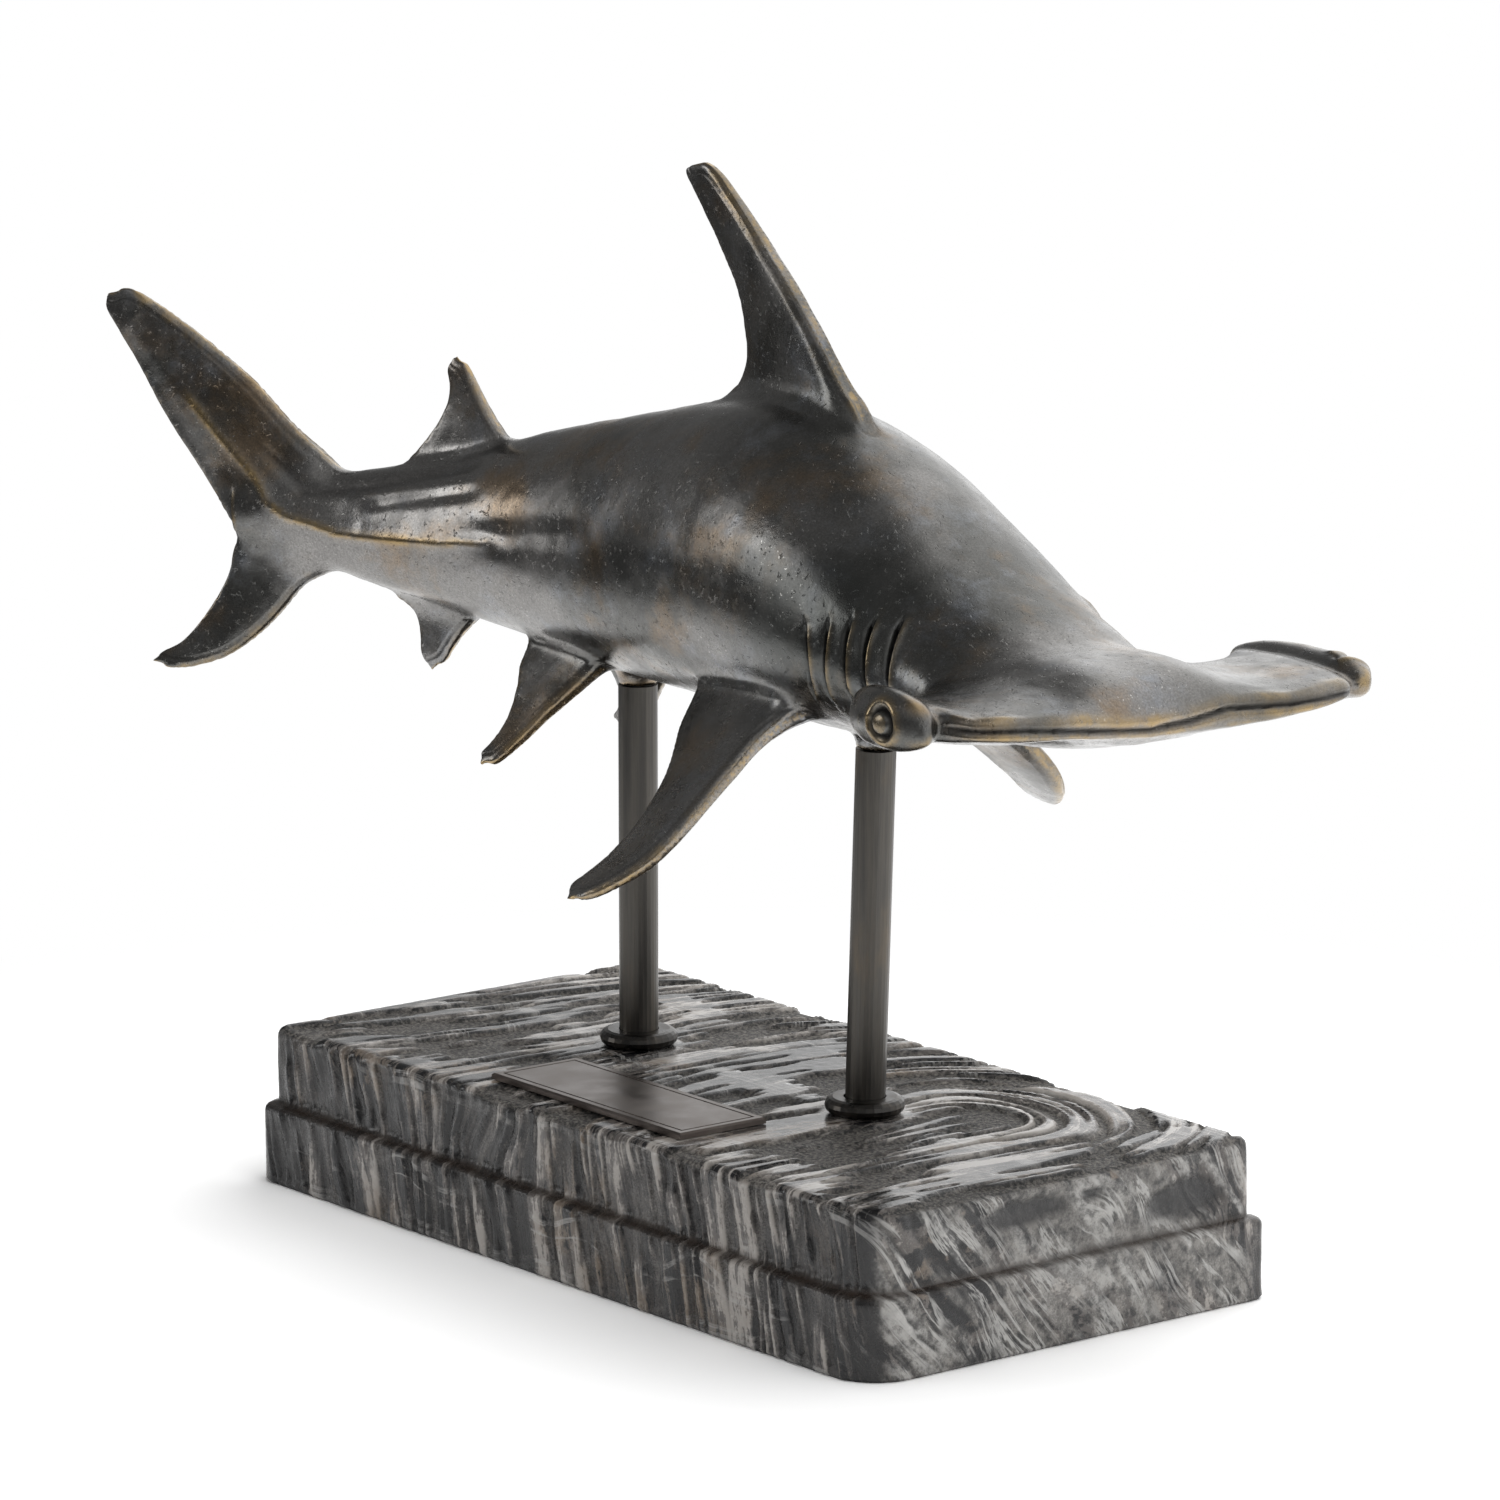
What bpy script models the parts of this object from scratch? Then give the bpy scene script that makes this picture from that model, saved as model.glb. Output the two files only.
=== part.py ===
"""Hammerhead shark figurine: a bronze casting on two posts over a carved two-step stone base.

Metres, +Z up. The origin is the centre of the stone's underside, +X runs to the shark's head
and -Y is the side that carries the plaque. Tables below that shape the casting are in millimetres.
"""

import math

import bmesh
import bpy
import numpy as np

MM = 0.001

# Stone base
BASE_LENGTH = 0.400
BASE_WIDTH = 0.204
BASE_HEIGHT = 0.0655
LOWER_STEP_HEIGHT = 0.033
STEP_INSET = 0.0055
HEAD_RIGHT_CORNER = 0.022
HEAD_LEFT_CORNER = 0.006
TAIL_RIGHT_CORNER = 0.013
TAIL_LEFT_CORNER = 0.012
TOP_EDGE_ROUND = 0.0045
LEDGE_EDGE_ROUND = 0.003
FOOT_BEVEL = 0.0015
RIDGE_COUNT = 26
RIDGE_LEAN = 0.14
LAYER_DIP = 0.28
RIDGE_SWIRL = 0.006
GROOVE_DEPTH = 0.0018
RIB_DEPTH = 0.0011
ROWS_ACROSS = 12

# Posts, collars and the fasteners inside the stone
POST_DIAMETER = 0.016
POST_Y = 0.002
REAR_POST_X = -0.0725
FRONT_POST_X = 0.0725
REAR_POST_LEAN = 0.0
FRONT_POST_LEAN = 2.4
REAR_POST_LENGTH = 0.1500
FRONT_POST_SHORTER = 0.0025
FRONT_POST_LENGTH = REAR_POST_LENGTH - FRONT_POST_SHORTER
TENON_DIAMETER = 0.010
TENON_LENGTH = 0.011
COLLAR_DIAMETER = 0.032
COLLAR_HEIGHT = 0.0065
STUD_DIAMETER = 0.008
STUD_GRIP = 0.018
NUT_ACROSS_FLATS = 0.013
NUT_HEIGHT = 0.0065
WASHER_DIAMETER = 0.020
WASHER_THICKNESS = 0.0016
COUNTERBORE_DIAMETER = 0.024
COUNTERBORE_DEPTH = 0.014

# Plaque
PLAQUE_LENGTH = 0.1245
PLAQUE_WIDTH = 0.0425
PLAQUE_THICKNESS = 0.0025
PLAQUE_EDGE = 0.0008
PLAQUE_X = 0.0
PLAQUE_FROM_EDGE = 0.0417
PLAQUE_Y = PLAQUE_FROM_EDGE - BASE_WIDTH / 2
PLAQUE_TURN = -0.8
BORDER_INSET = 0.0035
BORDER_WIDTH = 0.0006
BORDER_DEPTH = 0.0004

# Clearances
GAP = 0.0003
SEAT_RADIUS = 0.021
BOSS_SPREAD = 0.0065
BOSS_HEIGHT = 0.010
BOSS_ROOT = 0.008
STONE_HOLE_CLEARANCE = 0.001
STUD_END = 0.003

# The swimming pose: the tail curls towards -Y behind TAIL_BEND_START, the head turns a little the same way
SHARK_X = 0.010
SHARK_Y = 0.002
# Height in the casting's tables at which it sits on the rear post
CASTING_SEAT = 0.2129
SHARK_Z = BASE_HEIGHT + REAR_POST_LENGTH - CASTING_SEAT
TAIL_BEND_START = -0.010
TAIL_BEND_LENGTH = 0.230
TAIL_BEND_ANGLE = 38.0
TAIL_TIP_ANGLE = 8.0
TAIL_TIP_LENGTH = 0.100
HEAD_TURN_START = 0.100
HEAD_TURN_LENGTH = 0.120
HEAD_TURN_ANGLE = 8.0

# Body stations: x, top z, bottom z, half width, share of the height where it is widest, belly squareness
BODY = (
    (-262, 288.0, 262.0, 6.0, 0.50, 2.0),
    (-240, 291.0, 257.0, 10.5, 0.50, 2.0),
    (-215, 291.0, 248.5, 15.5, 0.50, 2.0),
    (-170, 299.0, 238.5, 26.0, 0.50, 2.0),
    (-120, 313.5, 228.5, 37.0, 0.50, 2.0),
    (-70, 326.0, 220.5, 47.0, 0.48, 2.0),
    (-20, 337.0, 217.5, 54.0, 0.46, 2.0),
    (30, 341.5, 217.5, 58.0, 0.45, 2.0),
    (75, 329.5, 218.0, 59.0, 0.44, 2.0),
    (110, 310.0, 220.5, 57.0, 0.42, 2.0),
    (145, 287.5, 224.5, 53.0, 0.42, 2.1),
    (180, 271.5, 230.5, 47.0, 0.42, 2.2),
    (208, 261.5, 233.8, 38.0, 0.45, 2.2),
    (232, 253.5, 238.8, 24.0, 0.50, 2.2),
)

# Head wing stations, right tip to left tip: y, rear x, front x, height of the front edge, thickness above it
# and below it. The wing narrows at a notch before each eye lobe; the left lobe reaches further back.
HEAD = (
    (-106.5, 207, 222.0, 255.2, 2.8, 2.8),
    (-104.3, 198, 230.5, 254.8, 7.2, 7.0),
    (-100.5, 190, 236.5, 254.2, 9.8, 9.2),
    (-94.5, 186, 239.5, 253.6, 9.8, 8.6),
    (-88.5, 185, 236.0, 253.0, 6.8, 6.0),
    (-83.0, 184, 243.0, 252.4, 7.0, 4.8),
    (-74, 180, 248.0, 251.8, 8.0, 4.4),
    (-60, 174, 250.5, 251.0, 9.0, 4.8),
    (-40, 160, 251.0, 250.0, 12.5, 4.4),
    (-20, 150, 250.0, 249.2, 19.0, 6.0),
    (0, 150, 247.5, 248.6, 20.0, 8.2),
    (20, 150, 250.5, 248.0, 20.0, 7.4),
    (40, 160, 252.0, 248.2, 13.0, 5.4),
    (60, 173, 252.0, 249.4, 8.4, 4.2),
    (78, 177, 250.5, 251.4, 7.2, 3.6),
    (87, 172, 246.5, 252.6, 6.0, 4.0),
    (93.0, 166, 238.0, 252.8, 4.4, 5.6),
    (97.5, 163, 239.5, 252.8, 6.8, 7.6),
    (102.5, 168, 237.5, 253.0, 7.6, 8.4),
    (106.5, 182, 231.0, 253.2, 5.8, 6.8),
    (109.0, 200, 221.0, 253.4, 2.4, 2.4),
)
# How far each side's finely spaced sections reach in from the tip, in rows of the table
HEAD_LOBE_ROWS = 5
# Roundness of the wing's section at the front and rear; a smaller number is blunter
HEAD_FRONT_ROUNDING = (0.62, 0.72)
HEAD_REAR_ROUNDING = (0.9, 0.9)

# Upright fins, root to tip: front x, front z, rear x, rear z, half thickness
FIRST_DORSAL = (
    (68, 326, -46, 320, 9.0),
    (59.5, 342, -30, 334, 8.0),
    (52, 349, -17, 343.5, 6.5),
    (44, 357.5, -11.5, 354, 5.5),
    (33, 370, -12, 364, 5.0),
    (19.5, 384, -15, 375, 4.6),
    (6, 396, -20, 386, 4.2),
    (-8, 409, -28, 398, 3.7),
    (-20.5, 420, -36, 409, 3.1),
    (-30, 427.5, -44, 419, 2.4),
    (-37, 429.8, -48, 425.5, 1.6),
    (-43, 428.8, -43, 428.8, 0.0),
)
SECOND_DORSAL = (
    (-134, 298, -200, 286, 5.0),
    (-142, 311, -184.5, 299, 4.2),
    (-147, 318, -173.5, 312, 3.4),
    (-151.5, 325, -168.5, 321, 2.8),
    (-155.5, 332, -167, 329, 2.3),
    (-159.5, 338.5, -168, 336, 1.8),
    (-164.5, 341, -164.5, 341, 0.0),
)
ANAL_FIN = (
    (-144, 246, -207, 252, 5.0),
    (-154, 234, -193.5, 241.5, 4.0),
    (-161, 227, -184, 234, 3.2),
    (-166, 220, -181.5, 225, 2.6),
    (-170, 214.5, -181, 217, 1.9),
    (-176.5, 210.5, -176.5, 210.5, 0.0),
)
UPPER_TAIL = (
    (-200, 285, -225, 255, 9.0),
    (-214, 291, -255, 257, 6.5),
    (-226, 300.5, -264, 262, 5.0),
    (-238, 311, -270.5, 274, 4.2),
    (-252, 326, -280, 293, 3.6),
    (-266, 338, -291, 312, 3.1),
    (-282, 350, -301, 331, 2.6),
    (-297, 360, -309, 345, 2.0),
    (-306, 364, -315, 356, 1.3),
    (-314, 362, -314, 362, 0.0),
)
LOWER_TAIL = (
    (-205, 254, -232, 282, 8.0),
    (-221, 248, -256, 268, 5.5),
    (-232.5, 242, -262, 257, 4.6),
    (-242, 231.5, -264.5, 247, 4.0),
    (-253, 220.5, -269.5, 237, 3.5),
    (-264.5, 212, -277, 226.5, 3.0),
    (-278, 207, -285.5, 217, 2.4),
    (-290, 205.5, -294, 212.5, 1.7),
    (-298, 208, -298, 208, 0.0),
)
# The backbone's taper inside the upper tail lobe: x, z, half height, half width
TAIL_CORE = (
    (-205, 270.5, 15.0, 13.0),
    (-225, 274.5, 13.0, 9.5),
    (-243, 283.5, 11.0, 7.0),
    (-257, 301.0, 9.0, 5.2),
    (-272, 320.0, 7.0, 4.2),
    (-288, 339.5, 5.0, 3.2),
    (-300, 352.0, 3.0, 2.2),
)
# Paired fins, root to tip: front x, front span, front lift, rear x, rear span, rear lift, half thickness
PECTORAL = (
    (42, -12, 0, -40, -14, 0, 9.0),
    (38, 2, 0, -33, -2, 0, 7.5),
    (31, 12, 0, -29, 9, -0.5, 6.0),
    (27, 23, 0, -24.5, 22, -1.5, 5.0),
    (26.5, 36, 0, -18, 34, -2.5, 4.5),
    (26.5, 50, 0, -12, 48, -3.5, 4.1),
    (26, 64, -0.3, -9, 62, -4.5, 3.8),
    (24, 77, -1.3, -8, 75, -5, 3.4),
    (19, 89, -2.7, -9, 87, -5, 3.0),
    (11.5, 99, -3.3, -12, 96.5, -5, 2.4),
    (2, 107.5, -3.8, -14, 104, -4.6, 1.8),
    (-9, 111, -4.2, -9, 111, -4.2, 0.0),
)
PELVIC = (
    (29, -10, 0, -26, -12, 0, 7.0),
    (23, 1, 0, -24, -1, 0, 5.5),
    (15, 11, 0, -24, 8, 0, 4.2),
    (8, 20, 0, -21.5, 17, 0, 3.6),
    (0, 30, 0, -20.5, 27, 0, 3.1),
    (-7, 40, 0, -21.5, 36, 0, 2.7),
    (-14, 48, 0, -25, 43.5, 0, 2.1),
    (-19, 52, 0, -28, 48, 0, 1.5),
    (-26, 53, 0, -26, 53, 0, 0.0),
)
# Where each paired fin starts and how far its plane drops over its reach sideways, right then left
PECTORAL_ROOT = ((42.0, 40.0, 234.0), (33.5, 40.0, 234.0))
PECTORAL_DROP = (0.806, 0.735)
PELVIC_ROOT = ((-92.0, 22.0, 229.0), (-93.0, 22.0, 229.0))
PELVIC_DROP = (1.45, 1.60)

# Share of the chord and of the half thickness, from the groove in the front edge to the rear edge
FIN_SECTION = (
    (0.018, 0.0),
    (0.0, 0.42),
    (0.05, 0.82),
    (0.20, 1.0),
    (0.42, 0.93),
    (0.66, 0.62),
    (0.86, 0.30),
    (1.0, 0.0),
)

# Gill slits on the right flank, rear to front: x and z of the top, the middle and the bottom
GILLS = (
    (95, 270.5, 96.5, 254, 91, 238),
    (107, 273, 107, 259, 103.5, 239),
    (118, 275, 118.5, 260, 119, 243.5),
    (128, 276.5, 129, 263, 131.5, 247),
    (138, 277, 141, 264.5, 143.5, 250),
)
GILL_WIDTH = 2.8
GILL_DEPTH = 3.2

# Middle of each eye, right then left
EYES = ((223.0, -105.0, 256.0), (221.5, 107.5, 253.8))
EYE_FACING = 22.0
EYE_RADIUS = 4.2
EYE_GROOVE = 2.2
EYE_GROOVE_DEPTH = 2.0

# The slit in each notch of the front edge: its deepest x, length, opening, and middle y and z, right then left
NOSTRIL_X = 233.5
NOSTRIL_LENGTH = 6.0
NOSTRIL_OPENING = 1.8
NOSTRILS = ((-88.0, 252.4), (92.6, 252.2))

MOUTH_X = 204.0
MOUTH_HALF_WIDTH = 33.0
MOUTH_SWEEP = 26.0
MOUTH_OPENING = 3.0
MOUTH_DEPTH = 4.0

BODY_STATIONS = 36
BODY_AROUND = 24
HEAD_STATIONS = 41
HEAD_AROUND = 20


def clear_scene():
    for item in list(bpy.data.objects):
        bpy.data.objects.remove(item, do_unlink=True)


def flow(rows, places):
    """Values read at each place along smooth curves through the rows, whose first column is the place."""
    rows = np.asarray(rows, float)
    at = rows[:, 0]
    values = rows[:, 1:]
    places = np.clip(np.asarray(places, float), at[0], at[-1])
    steps = np.diff(at)
    slopes = np.diff(values, axis=0) / steps[:, None]
    tangents = np.zeros_like(values)
    tangents[0] = slopes[0]
    tangents[-1] = slopes[-1]
    for i in range(1, len(at) - 1):
        both = steps[i] + steps[i - 1]
        tangents[i] = (slopes[i - 1] * steps[i] + slopes[i] * steps[i - 1]) / both
    i = np.clip(np.searchsorted(at, places, side="right") - 1, 0, len(at) - 2)
    t = ((places - at[i]) / steps[i])[:, None]
    h = steps[i][:, None]
    start = (2 * t**3 - 3 * t**2 + 1) * values[i] + (t**3 - 2 * t**2 + t) * h * tangents[i]
    end = (3 * t**2 - 2 * t**3) * values[i + 1] + (t**3 - t**2) * h * tangents[i + 1]
    return start + end


def curve_away(reach, start, turn):
    """Walks from start in small steps while the heading follows turn, and returns reach, x, y and heading."""
    heading = np.radians(turn(reach))
    middle = (heading[1:] + heading[:-1]) / 2
    step = np.diff(reach)
    x = np.r_[0.0, np.cumsum(np.cos(middle) * step)]
    y = np.r_[0.0, np.cumsum(-np.sin(middle) * step)]
    return start, x, y, heading


def pose(points):
    """Straight, symmetric points in metres put into the swimming pose."""
    points = np.array(points, float)
    x = points[:, 0].copy()
    y = points[:, 1].copy()
    reach = np.linspace(0.0, 0.5, 501)

    def tail_turn(s):
        main = TAIL_BEND_ANGLE * np.clip(s / TAIL_BEND_LENGTH, 0, 1)
        return main + TAIL_TIP_ANGLE * np.clip((s - TAIL_BEND_LENGTH) / TAIL_TIP_LENGTH, 0, 1)

    def head_turn(s):
        return HEAD_TURN_ANGLE * np.clip(s / HEAD_TURN_LENGTH, 0, 1)

    for sign, begin, turn in ((-1, TAIL_BEND_START, tail_turn), (1, HEAD_TURN_START, head_turn)):
        start, along, aside, heading = curve_away(reach, begin, turn)
        chosen = (x - begin) * sign > 0
        s = (x[chosen] - begin) * sign
        angle = np.interp(s, reach, heading)
        points[chosen, 0] = start + sign * np.interp(s, reach, along) + sign * np.sin(angle) * y[chosen]
        points[chosen, 1] = np.interp(s, reach, aside) + np.cos(angle) * y[chosen]
    return points + [SHARK_X, SHARK_Y, SHARK_Z]


def body_section(x):
    """Top, bottom, half width, height of the widest point and belly power of the body at x, in millimetres."""
    top, bottom, half, share, power = flow(BODY, [x])[0]
    return top, bottom, half, bottom + (top - bottom) * share, power


def body_rings():
    rings = []
    turn = np.linspace(0, 2 * np.pi, BODY_AROUND, endpoint=False)
    for x in np.linspace(BODY[0][0], BODY[-1][0], BODY_STATIONS):
        top, bottom, half, widest, power = body_section(x)
        up = np.cos(turn)
        side = np.sin(turn)
        exponent = 2 / np.where(up >= 0, 2.0, power)
        z = widest + np.sign(up) * np.abs(up) ** exponent * np.where(up >= 0, top - widest, widest - bottom)
        y = np.sign(side) * np.abs(side) ** exponent * half
        rings.append(np.c_[np.full(BODY_AROUND, x), y, z])
    return np.array(rings) * MM


def flank(x, z):
    """How far the flank stands from the middle plane at x and z, in millimetres."""
    top, bottom, half, widest, power = body_section(x)
    if z >= widest:
        share = (z - widest) / (top - widest)
        return half * math.sqrt(max(0.0, 1 - share**2))
    share = (widest - z) / (widest - bottom)
    return half * max(0.0, 1 - share**power) ** (1 / power)


def belly(x, y):
    """Height of the underside at x and y, in millimetres."""
    top, bottom, half, widest, power = body_section(x)
    share = min(1.0, abs(y) / half)
    return widest - (widest - bottom) * (1 - share**power) ** (1 / power)


def head_rings():
    rows = np.array(HEAD, float)
    right_lobe = rows[HEAD_LOBE_ROWS, 0]
    left_lobe = rows[-1 - HEAD_LOBE_ROWS, 0]
    knots = (0.0, 0.24, 0.5, 0.76, 1.0)
    ends = (rows[0, 0], right_lobe, 0.0, left_lobe, rows[-1, 0])
    places = np.interp(np.linspace(0, 1, HEAD_STATIONS), knots, ends)
    turn = np.linspace(0, 2 * np.pi, HEAD_AROUND, endpoint=False)
    up = np.cos(turn)
    front = np.sin(turn)
    power_x = np.where(front > 0, HEAD_FRONT_ROUNDING[0], HEAD_REAR_ROUNDING[0])
    power_z = np.where(front > 0, HEAD_FRONT_ROUNDING[1], HEAD_REAR_ROUNDING[1])
    rings = []
    for y, (rear_x, front_x, middle, above, below) in zip(places, flow(rows, places)):
        x = (rear_x + front_x) / 2 + np.sign(front) * np.abs(front) ** power_x * (front_x - rear_x) / 2
        z = middle + np.sign(up) * np.abs(up) ** power_z * np.where(up > 0, above, below)
        rings.append(np.c_[x, np.full(HEAD_AROUND, y), z])
    return np.array(rings) * MM


def fin_rings(rows, stations, root=None, drop=0.0, side=0):
    """Sections of a fin. Upright fins give no root; paired fins give theirs, the fall of their plane and a side."""
    rows = np.asarray(rows, float)
    places = 1 - (1 - np.linspace(0, 1, stations)) ** 1.15
    values = flow(np.c_[np.linspace(0, 1, len(rows)), rows], places)
    section = np.array(FIN_SECTION)
    rings = []
    for row in values:
        if root is None:
            front = np.array([row[0], 0.0, row[1]])
            rear = np.array([row[2], 0.0, row[3]])
            across = np.array([0.0, 1.0, 0.0])
        else:
            reach = np.array([0.0, 1.0, -drop]) / math.hypot(1.0, drop)
            across = np.array([0.0, drop, 1.0]) / math.hypot(1.0, drop)
            origin = np.array(root)
            front = origin + [row[0], 0, 0] + reach * row[1] + across * row[2]
            rear = origin + [row[3], 0, 0] + reach * row[4] + across * row[5]
        thickness = row[-1]
        if np.linalg.norm(front - rear) < 0.6:
            rear = front + np.array([-0.6, 0.0, -0.1])
            thickness = 0.3
        middle = front + (rear - front) * section[:, :1]
        offset = across * section[:, 1:] * thickness
        ring = np.r_[middle + offset, (middle - offset)[1:-1][::-1]]
        if side < 0:
            ring = ring * [1, -1, 1]
        rings.append(ring * MM)
    return np.array(rings)


def core_rings():
    rows = np.array(TAIL_CORE, float)
    places = np.linspace(0, 1, 10)
    values = flow(np.c_[np.linspace(0, 1, len(rows)), rows], places)
    path = values[:, :2]
    rings = []
    for i, (x, z, high, wide) in enumerate(values):
        ahead = path[min(i + 1, len(path) - 1)] - path[max(i - 1, 0)]
        ahead = ahead / np.linalg.norm(ahead)
        up = np.array([-ahead[1], ahead[0]])
        if up[1] < 0:
            up = -up
        corners = ((1.0, 0.0), (0.45, 0.72), (-0.55, 1.0), (-1.0, 0.0), (-0.55, -1.0), (0.45, -0.72))
        rings.append([(x + up[0] * a * high, b * wide, z + up[1] * a * high) for a, b in corners])
    return np.array(rings) * MM


def mesh_object(name, points, faces):
    """A mesh object with its faces turned outwards."""
    mesh = bpy.data.meshes.new(name)
    mesh.from_pydata([tuple(map(float, p)) for p in points], [], [tuple(map(int, f)) for f in faces])
    work = bmesh.new()
    work.from_mesh(mesh)
    bmesh.ops.recalc_face_normals(work, faces=work.faces)
    if work.calc_volume(signed=True) < 0:
        bmesh.ops.reverse_faces(work, faces=work.faces)
    work.to_mesh(mesh)
    work.free()
    thing = bpy.data.objects.new(name, mesh)
    bpy.context.scene.collection.objects.link(thing)
    return thing


def loft(name, rings):
    """A closed skin over rings with equal point counts."""
    stations, around, _ = rings.shape
    faces = []
    for i in range(stations - 1):
        for j in range(around):
            k = (j + 1) % around
            faces.append((i * around + j, i * around + k, (i + 1) * around + k, (i + 1) * around + j))
    faces.append(tuple(range(around)))
    faces.append(tuple((stations - 1) * around + j for j in range(around)))
    return mesh_object(name, rings.reshape(-1, 3), faces)


def turned(name, profile, segments=32):
    """A body of revolution about its own Z, from (radius, height) points; radius 0 closes an end."""
    rings = []
    for radius, height in profile:
        turn = np.linspace(0, 2 * np.pi, segments, endpoint=False)
        rings.append(np.c_[radius * np.cos(turn), radius * np.sin(turn), np.full(segments, height)])
    return loft(name, np.array(rings))


def ring_turned(name, profile, segments=32):
    """A ring about its own Z from a closed (radius, height) outline."""
    turn = np.linspace(0, 2 * np.pi, segments, endpoint=False)
    points = []
    faces = []
    count = len(profile)
    for i, angle in enumerate(turn):
        for radius, height in profile:
            points.append((radius * math.cos(angle), radius * math.sin(angle), height))
        following = (i + 1) % segments
        for j in range(count):
            k = (j + 1) % count
            faces.append((i * count + j, following * count + j, following * count + k, i * count + k))
    return mesh_object(name, points, faces)


def as_helper(thing):
    thing.hide_render = True
    thing.display_type = "WIRE"
    return thing


def combine(target, other, operation):
    """One EXACT Boolean on target, with other kept as a helper that isn't rendered."""
    as_helper(other)
    step = target.modifiers.new(other.name, "BOOLEAN")
    step.solver = "EXACT"
    step.operation = operation
    step.object = other


def shade(thing, degrees=35.0):
    """Smooth shading that keeps edges sharper than the given angle."""
    for face in thing.data.polygons:
        face.use_smooth = True
    thing.data.set_sharp_from_angle(angle=math.radians(degrees))


def axis_at(name, x, lean):
    """An empty at a post's foot on the stone, whose Z is the post's axis."""
    axis = bpy.data.objects.new(name, None)
    bpy.context.scene.collection.objects.link(axis)
    axis.location = (x, POST_Y, BASE_HEIGHT)
    axis.rotation_euler = (0.0, math.radians(lean), 0.0)
    return axis


def hang(thing, axis, height=0.0):
    thing.parent = axis
    thing.location = (0.0, 0.0, height)
    return thing


def material(name, colour, metallic, roughness):
    made = bpy.data.materials.new(name)
    made.use_nodes = True
    shader = made.node_tree.nodes["Principled BSDF"]
    shader.inputs["Base Color"].default_value = (*colour, 1.0)
    shader.inputs["Metallic"].default_value = metallic
    shader.inputs["Roughness"].default_value = roughness
    return made


def bronze_material():
    return material("patinated_bronze", (0.075, 0.068, 0.052), 1.0, 0.38)


def post_material():
    return material("darkened_post", (0.070, 0.066, 0.060), 1.0, 0.42)


def collar_material():
    return material("blackened_collar", (0.030, 0.029, 0.028), 1.0, 0.35)


def stone_material():
    return material("carved_stone", (0.060, 0.057, 0.055), 0.0, 0.35)


def plaque_material():
    return material("dark_plaque", (0.060, 0.052, 0.046), 1.0, 0.40)


def steel_material():
    return material("zinc_steel", (0.55, 0.55, 0.54), 1.0, 0.35)


def paint(thing, made):
    thing.data.materials.clear()
    thing.data.materials.append(made)


def gill_cutter(index, side):
    """A thin curved blade that follows one gill slit, deeper than the flank by GILL_DEPTH."""
    x0, z0, x1, z1, x2, z2 = GILLS[index]
    rows = []
    for t in np.linspace(-0.04, 1.04, 7):
        x = 2 * (t - 0.5) * (t - 1) * x0 - 4 * t * (t - 1) * x1 + 2 * t * (t - 0.5) * x2
        z = 2 * (t - 0.5) * (t - 1) * z0 - 4 * t * (t - 1) * z1 + 2 * t * (t - 0.5) * z2
        taper = max(0.12, math.sin(math.pi * min(1.0, max(0.0, (t + 0.04) / 1.08))) ** 0.5)
        surface = flank(x, z)
        inner = surface - GILL_DEPTH * taper
        outer = surface + 4.0
        half = GILL_WIDTH / 2 * taper
        ring = ((x - half, outer), (x + half, outer), (x + half * 0.9, inner), (x - half * 0.1, inner))
        rows.append([(a, side * b, z) for a, b in ring])
    rings = np.array(rows) * MM
    around = rings.shape
    posed = pose(rings.reshape(-1, 3)).reshape(around)
    return loft(f"gill_cut_{'left' if side > 0 else 'right'}_{index + 1}", posed)


def mouth_cutter():
    """A crescent under the head, open to the rear, that follows the belly."""
    rows = []
    for t in np.linspace(-1, 1, 13):
        y = MOUTH_HALF_WIDTH * t
        x = MOUTH_X - MOUTH_SWEEP * t**2
        low = belly(x, y)
        taper = max(0.25, (1 - t**2) ** 0.5)
        half = MOUTH_OPENING / 2 * taper
        ring = ((x - half, low - 3), (x + half, low - 3), (x + half, low + MOUTH_DEPTH * taper))
        ring = ring + ((x - half, low + MOUTH_DEPTH * taper),)
        rows.append([(a, y, b) for a, b in ring])
    rings = np.array(rows) * MM
    size = rings.shape
    return loft("mouth_cut", pose(rings.reshape(-1, 3)).reshape(size))


def eye_cutter(side):
    """The round groove about one eye, which leaves the eye itself standing as a dome."""
    outer = EYE_RADIUS + EYE_GROOVE
    profile = (
        (EYE_RADIUS + 0.1, 6.0),
        (EYE_RADIUS, -EYE_GROOVE_DEPTH * 0.4),
        (EYE_RADIUS + EYE_GROOVE * 0.5, -EYE_GROOVE_DEPTH),
        (outer, -EYE_GROOVE_DEPTH * 0.4),
        (outer + 0.6, 6.0),
    )
    cutter = ring_turned(
        f"eye_cut_{'left' if side > 0 else 'right'}",
        [(radius * MM, height * MM) for radius, height in profile],
        20,
    )
    facing = math.radians(EYE_FACING)
    outward = np.array([math.sin(facing), math.cos(facing), 0.0])
    along = np.array([math.cos(facing), -math.sin(facing), 0.0])
    up = np.array([0.0, 0.0, 1.0])
    x, y, z = EYES[1 if side > 0 else 0]
    centre = np.array([x, abs(y), z]) * MM
    local = np.array([v.co for v in cutter.data.vertices])
    placed = centre + local[:, :1] * along + local[:, 1:2] * up + local[:, 2:] * outward
    placed[:, 1] *= side
    for vertex, point in zip(cutter.data.vertices, pose(placed)):
        vertex.co = point
    if side < 0:
        cutter.data.flip_normals()
    fix = bmesh.new()
    fix.from_mesh(cutter.data)
    if fix.calc_volume(signed=True) < 0:
        bmesh.ops.reverse_faces(fix, faces=fix.faces)
    fix.to_mesh(cutter.data)
    fix.free()
    return cutter


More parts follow.
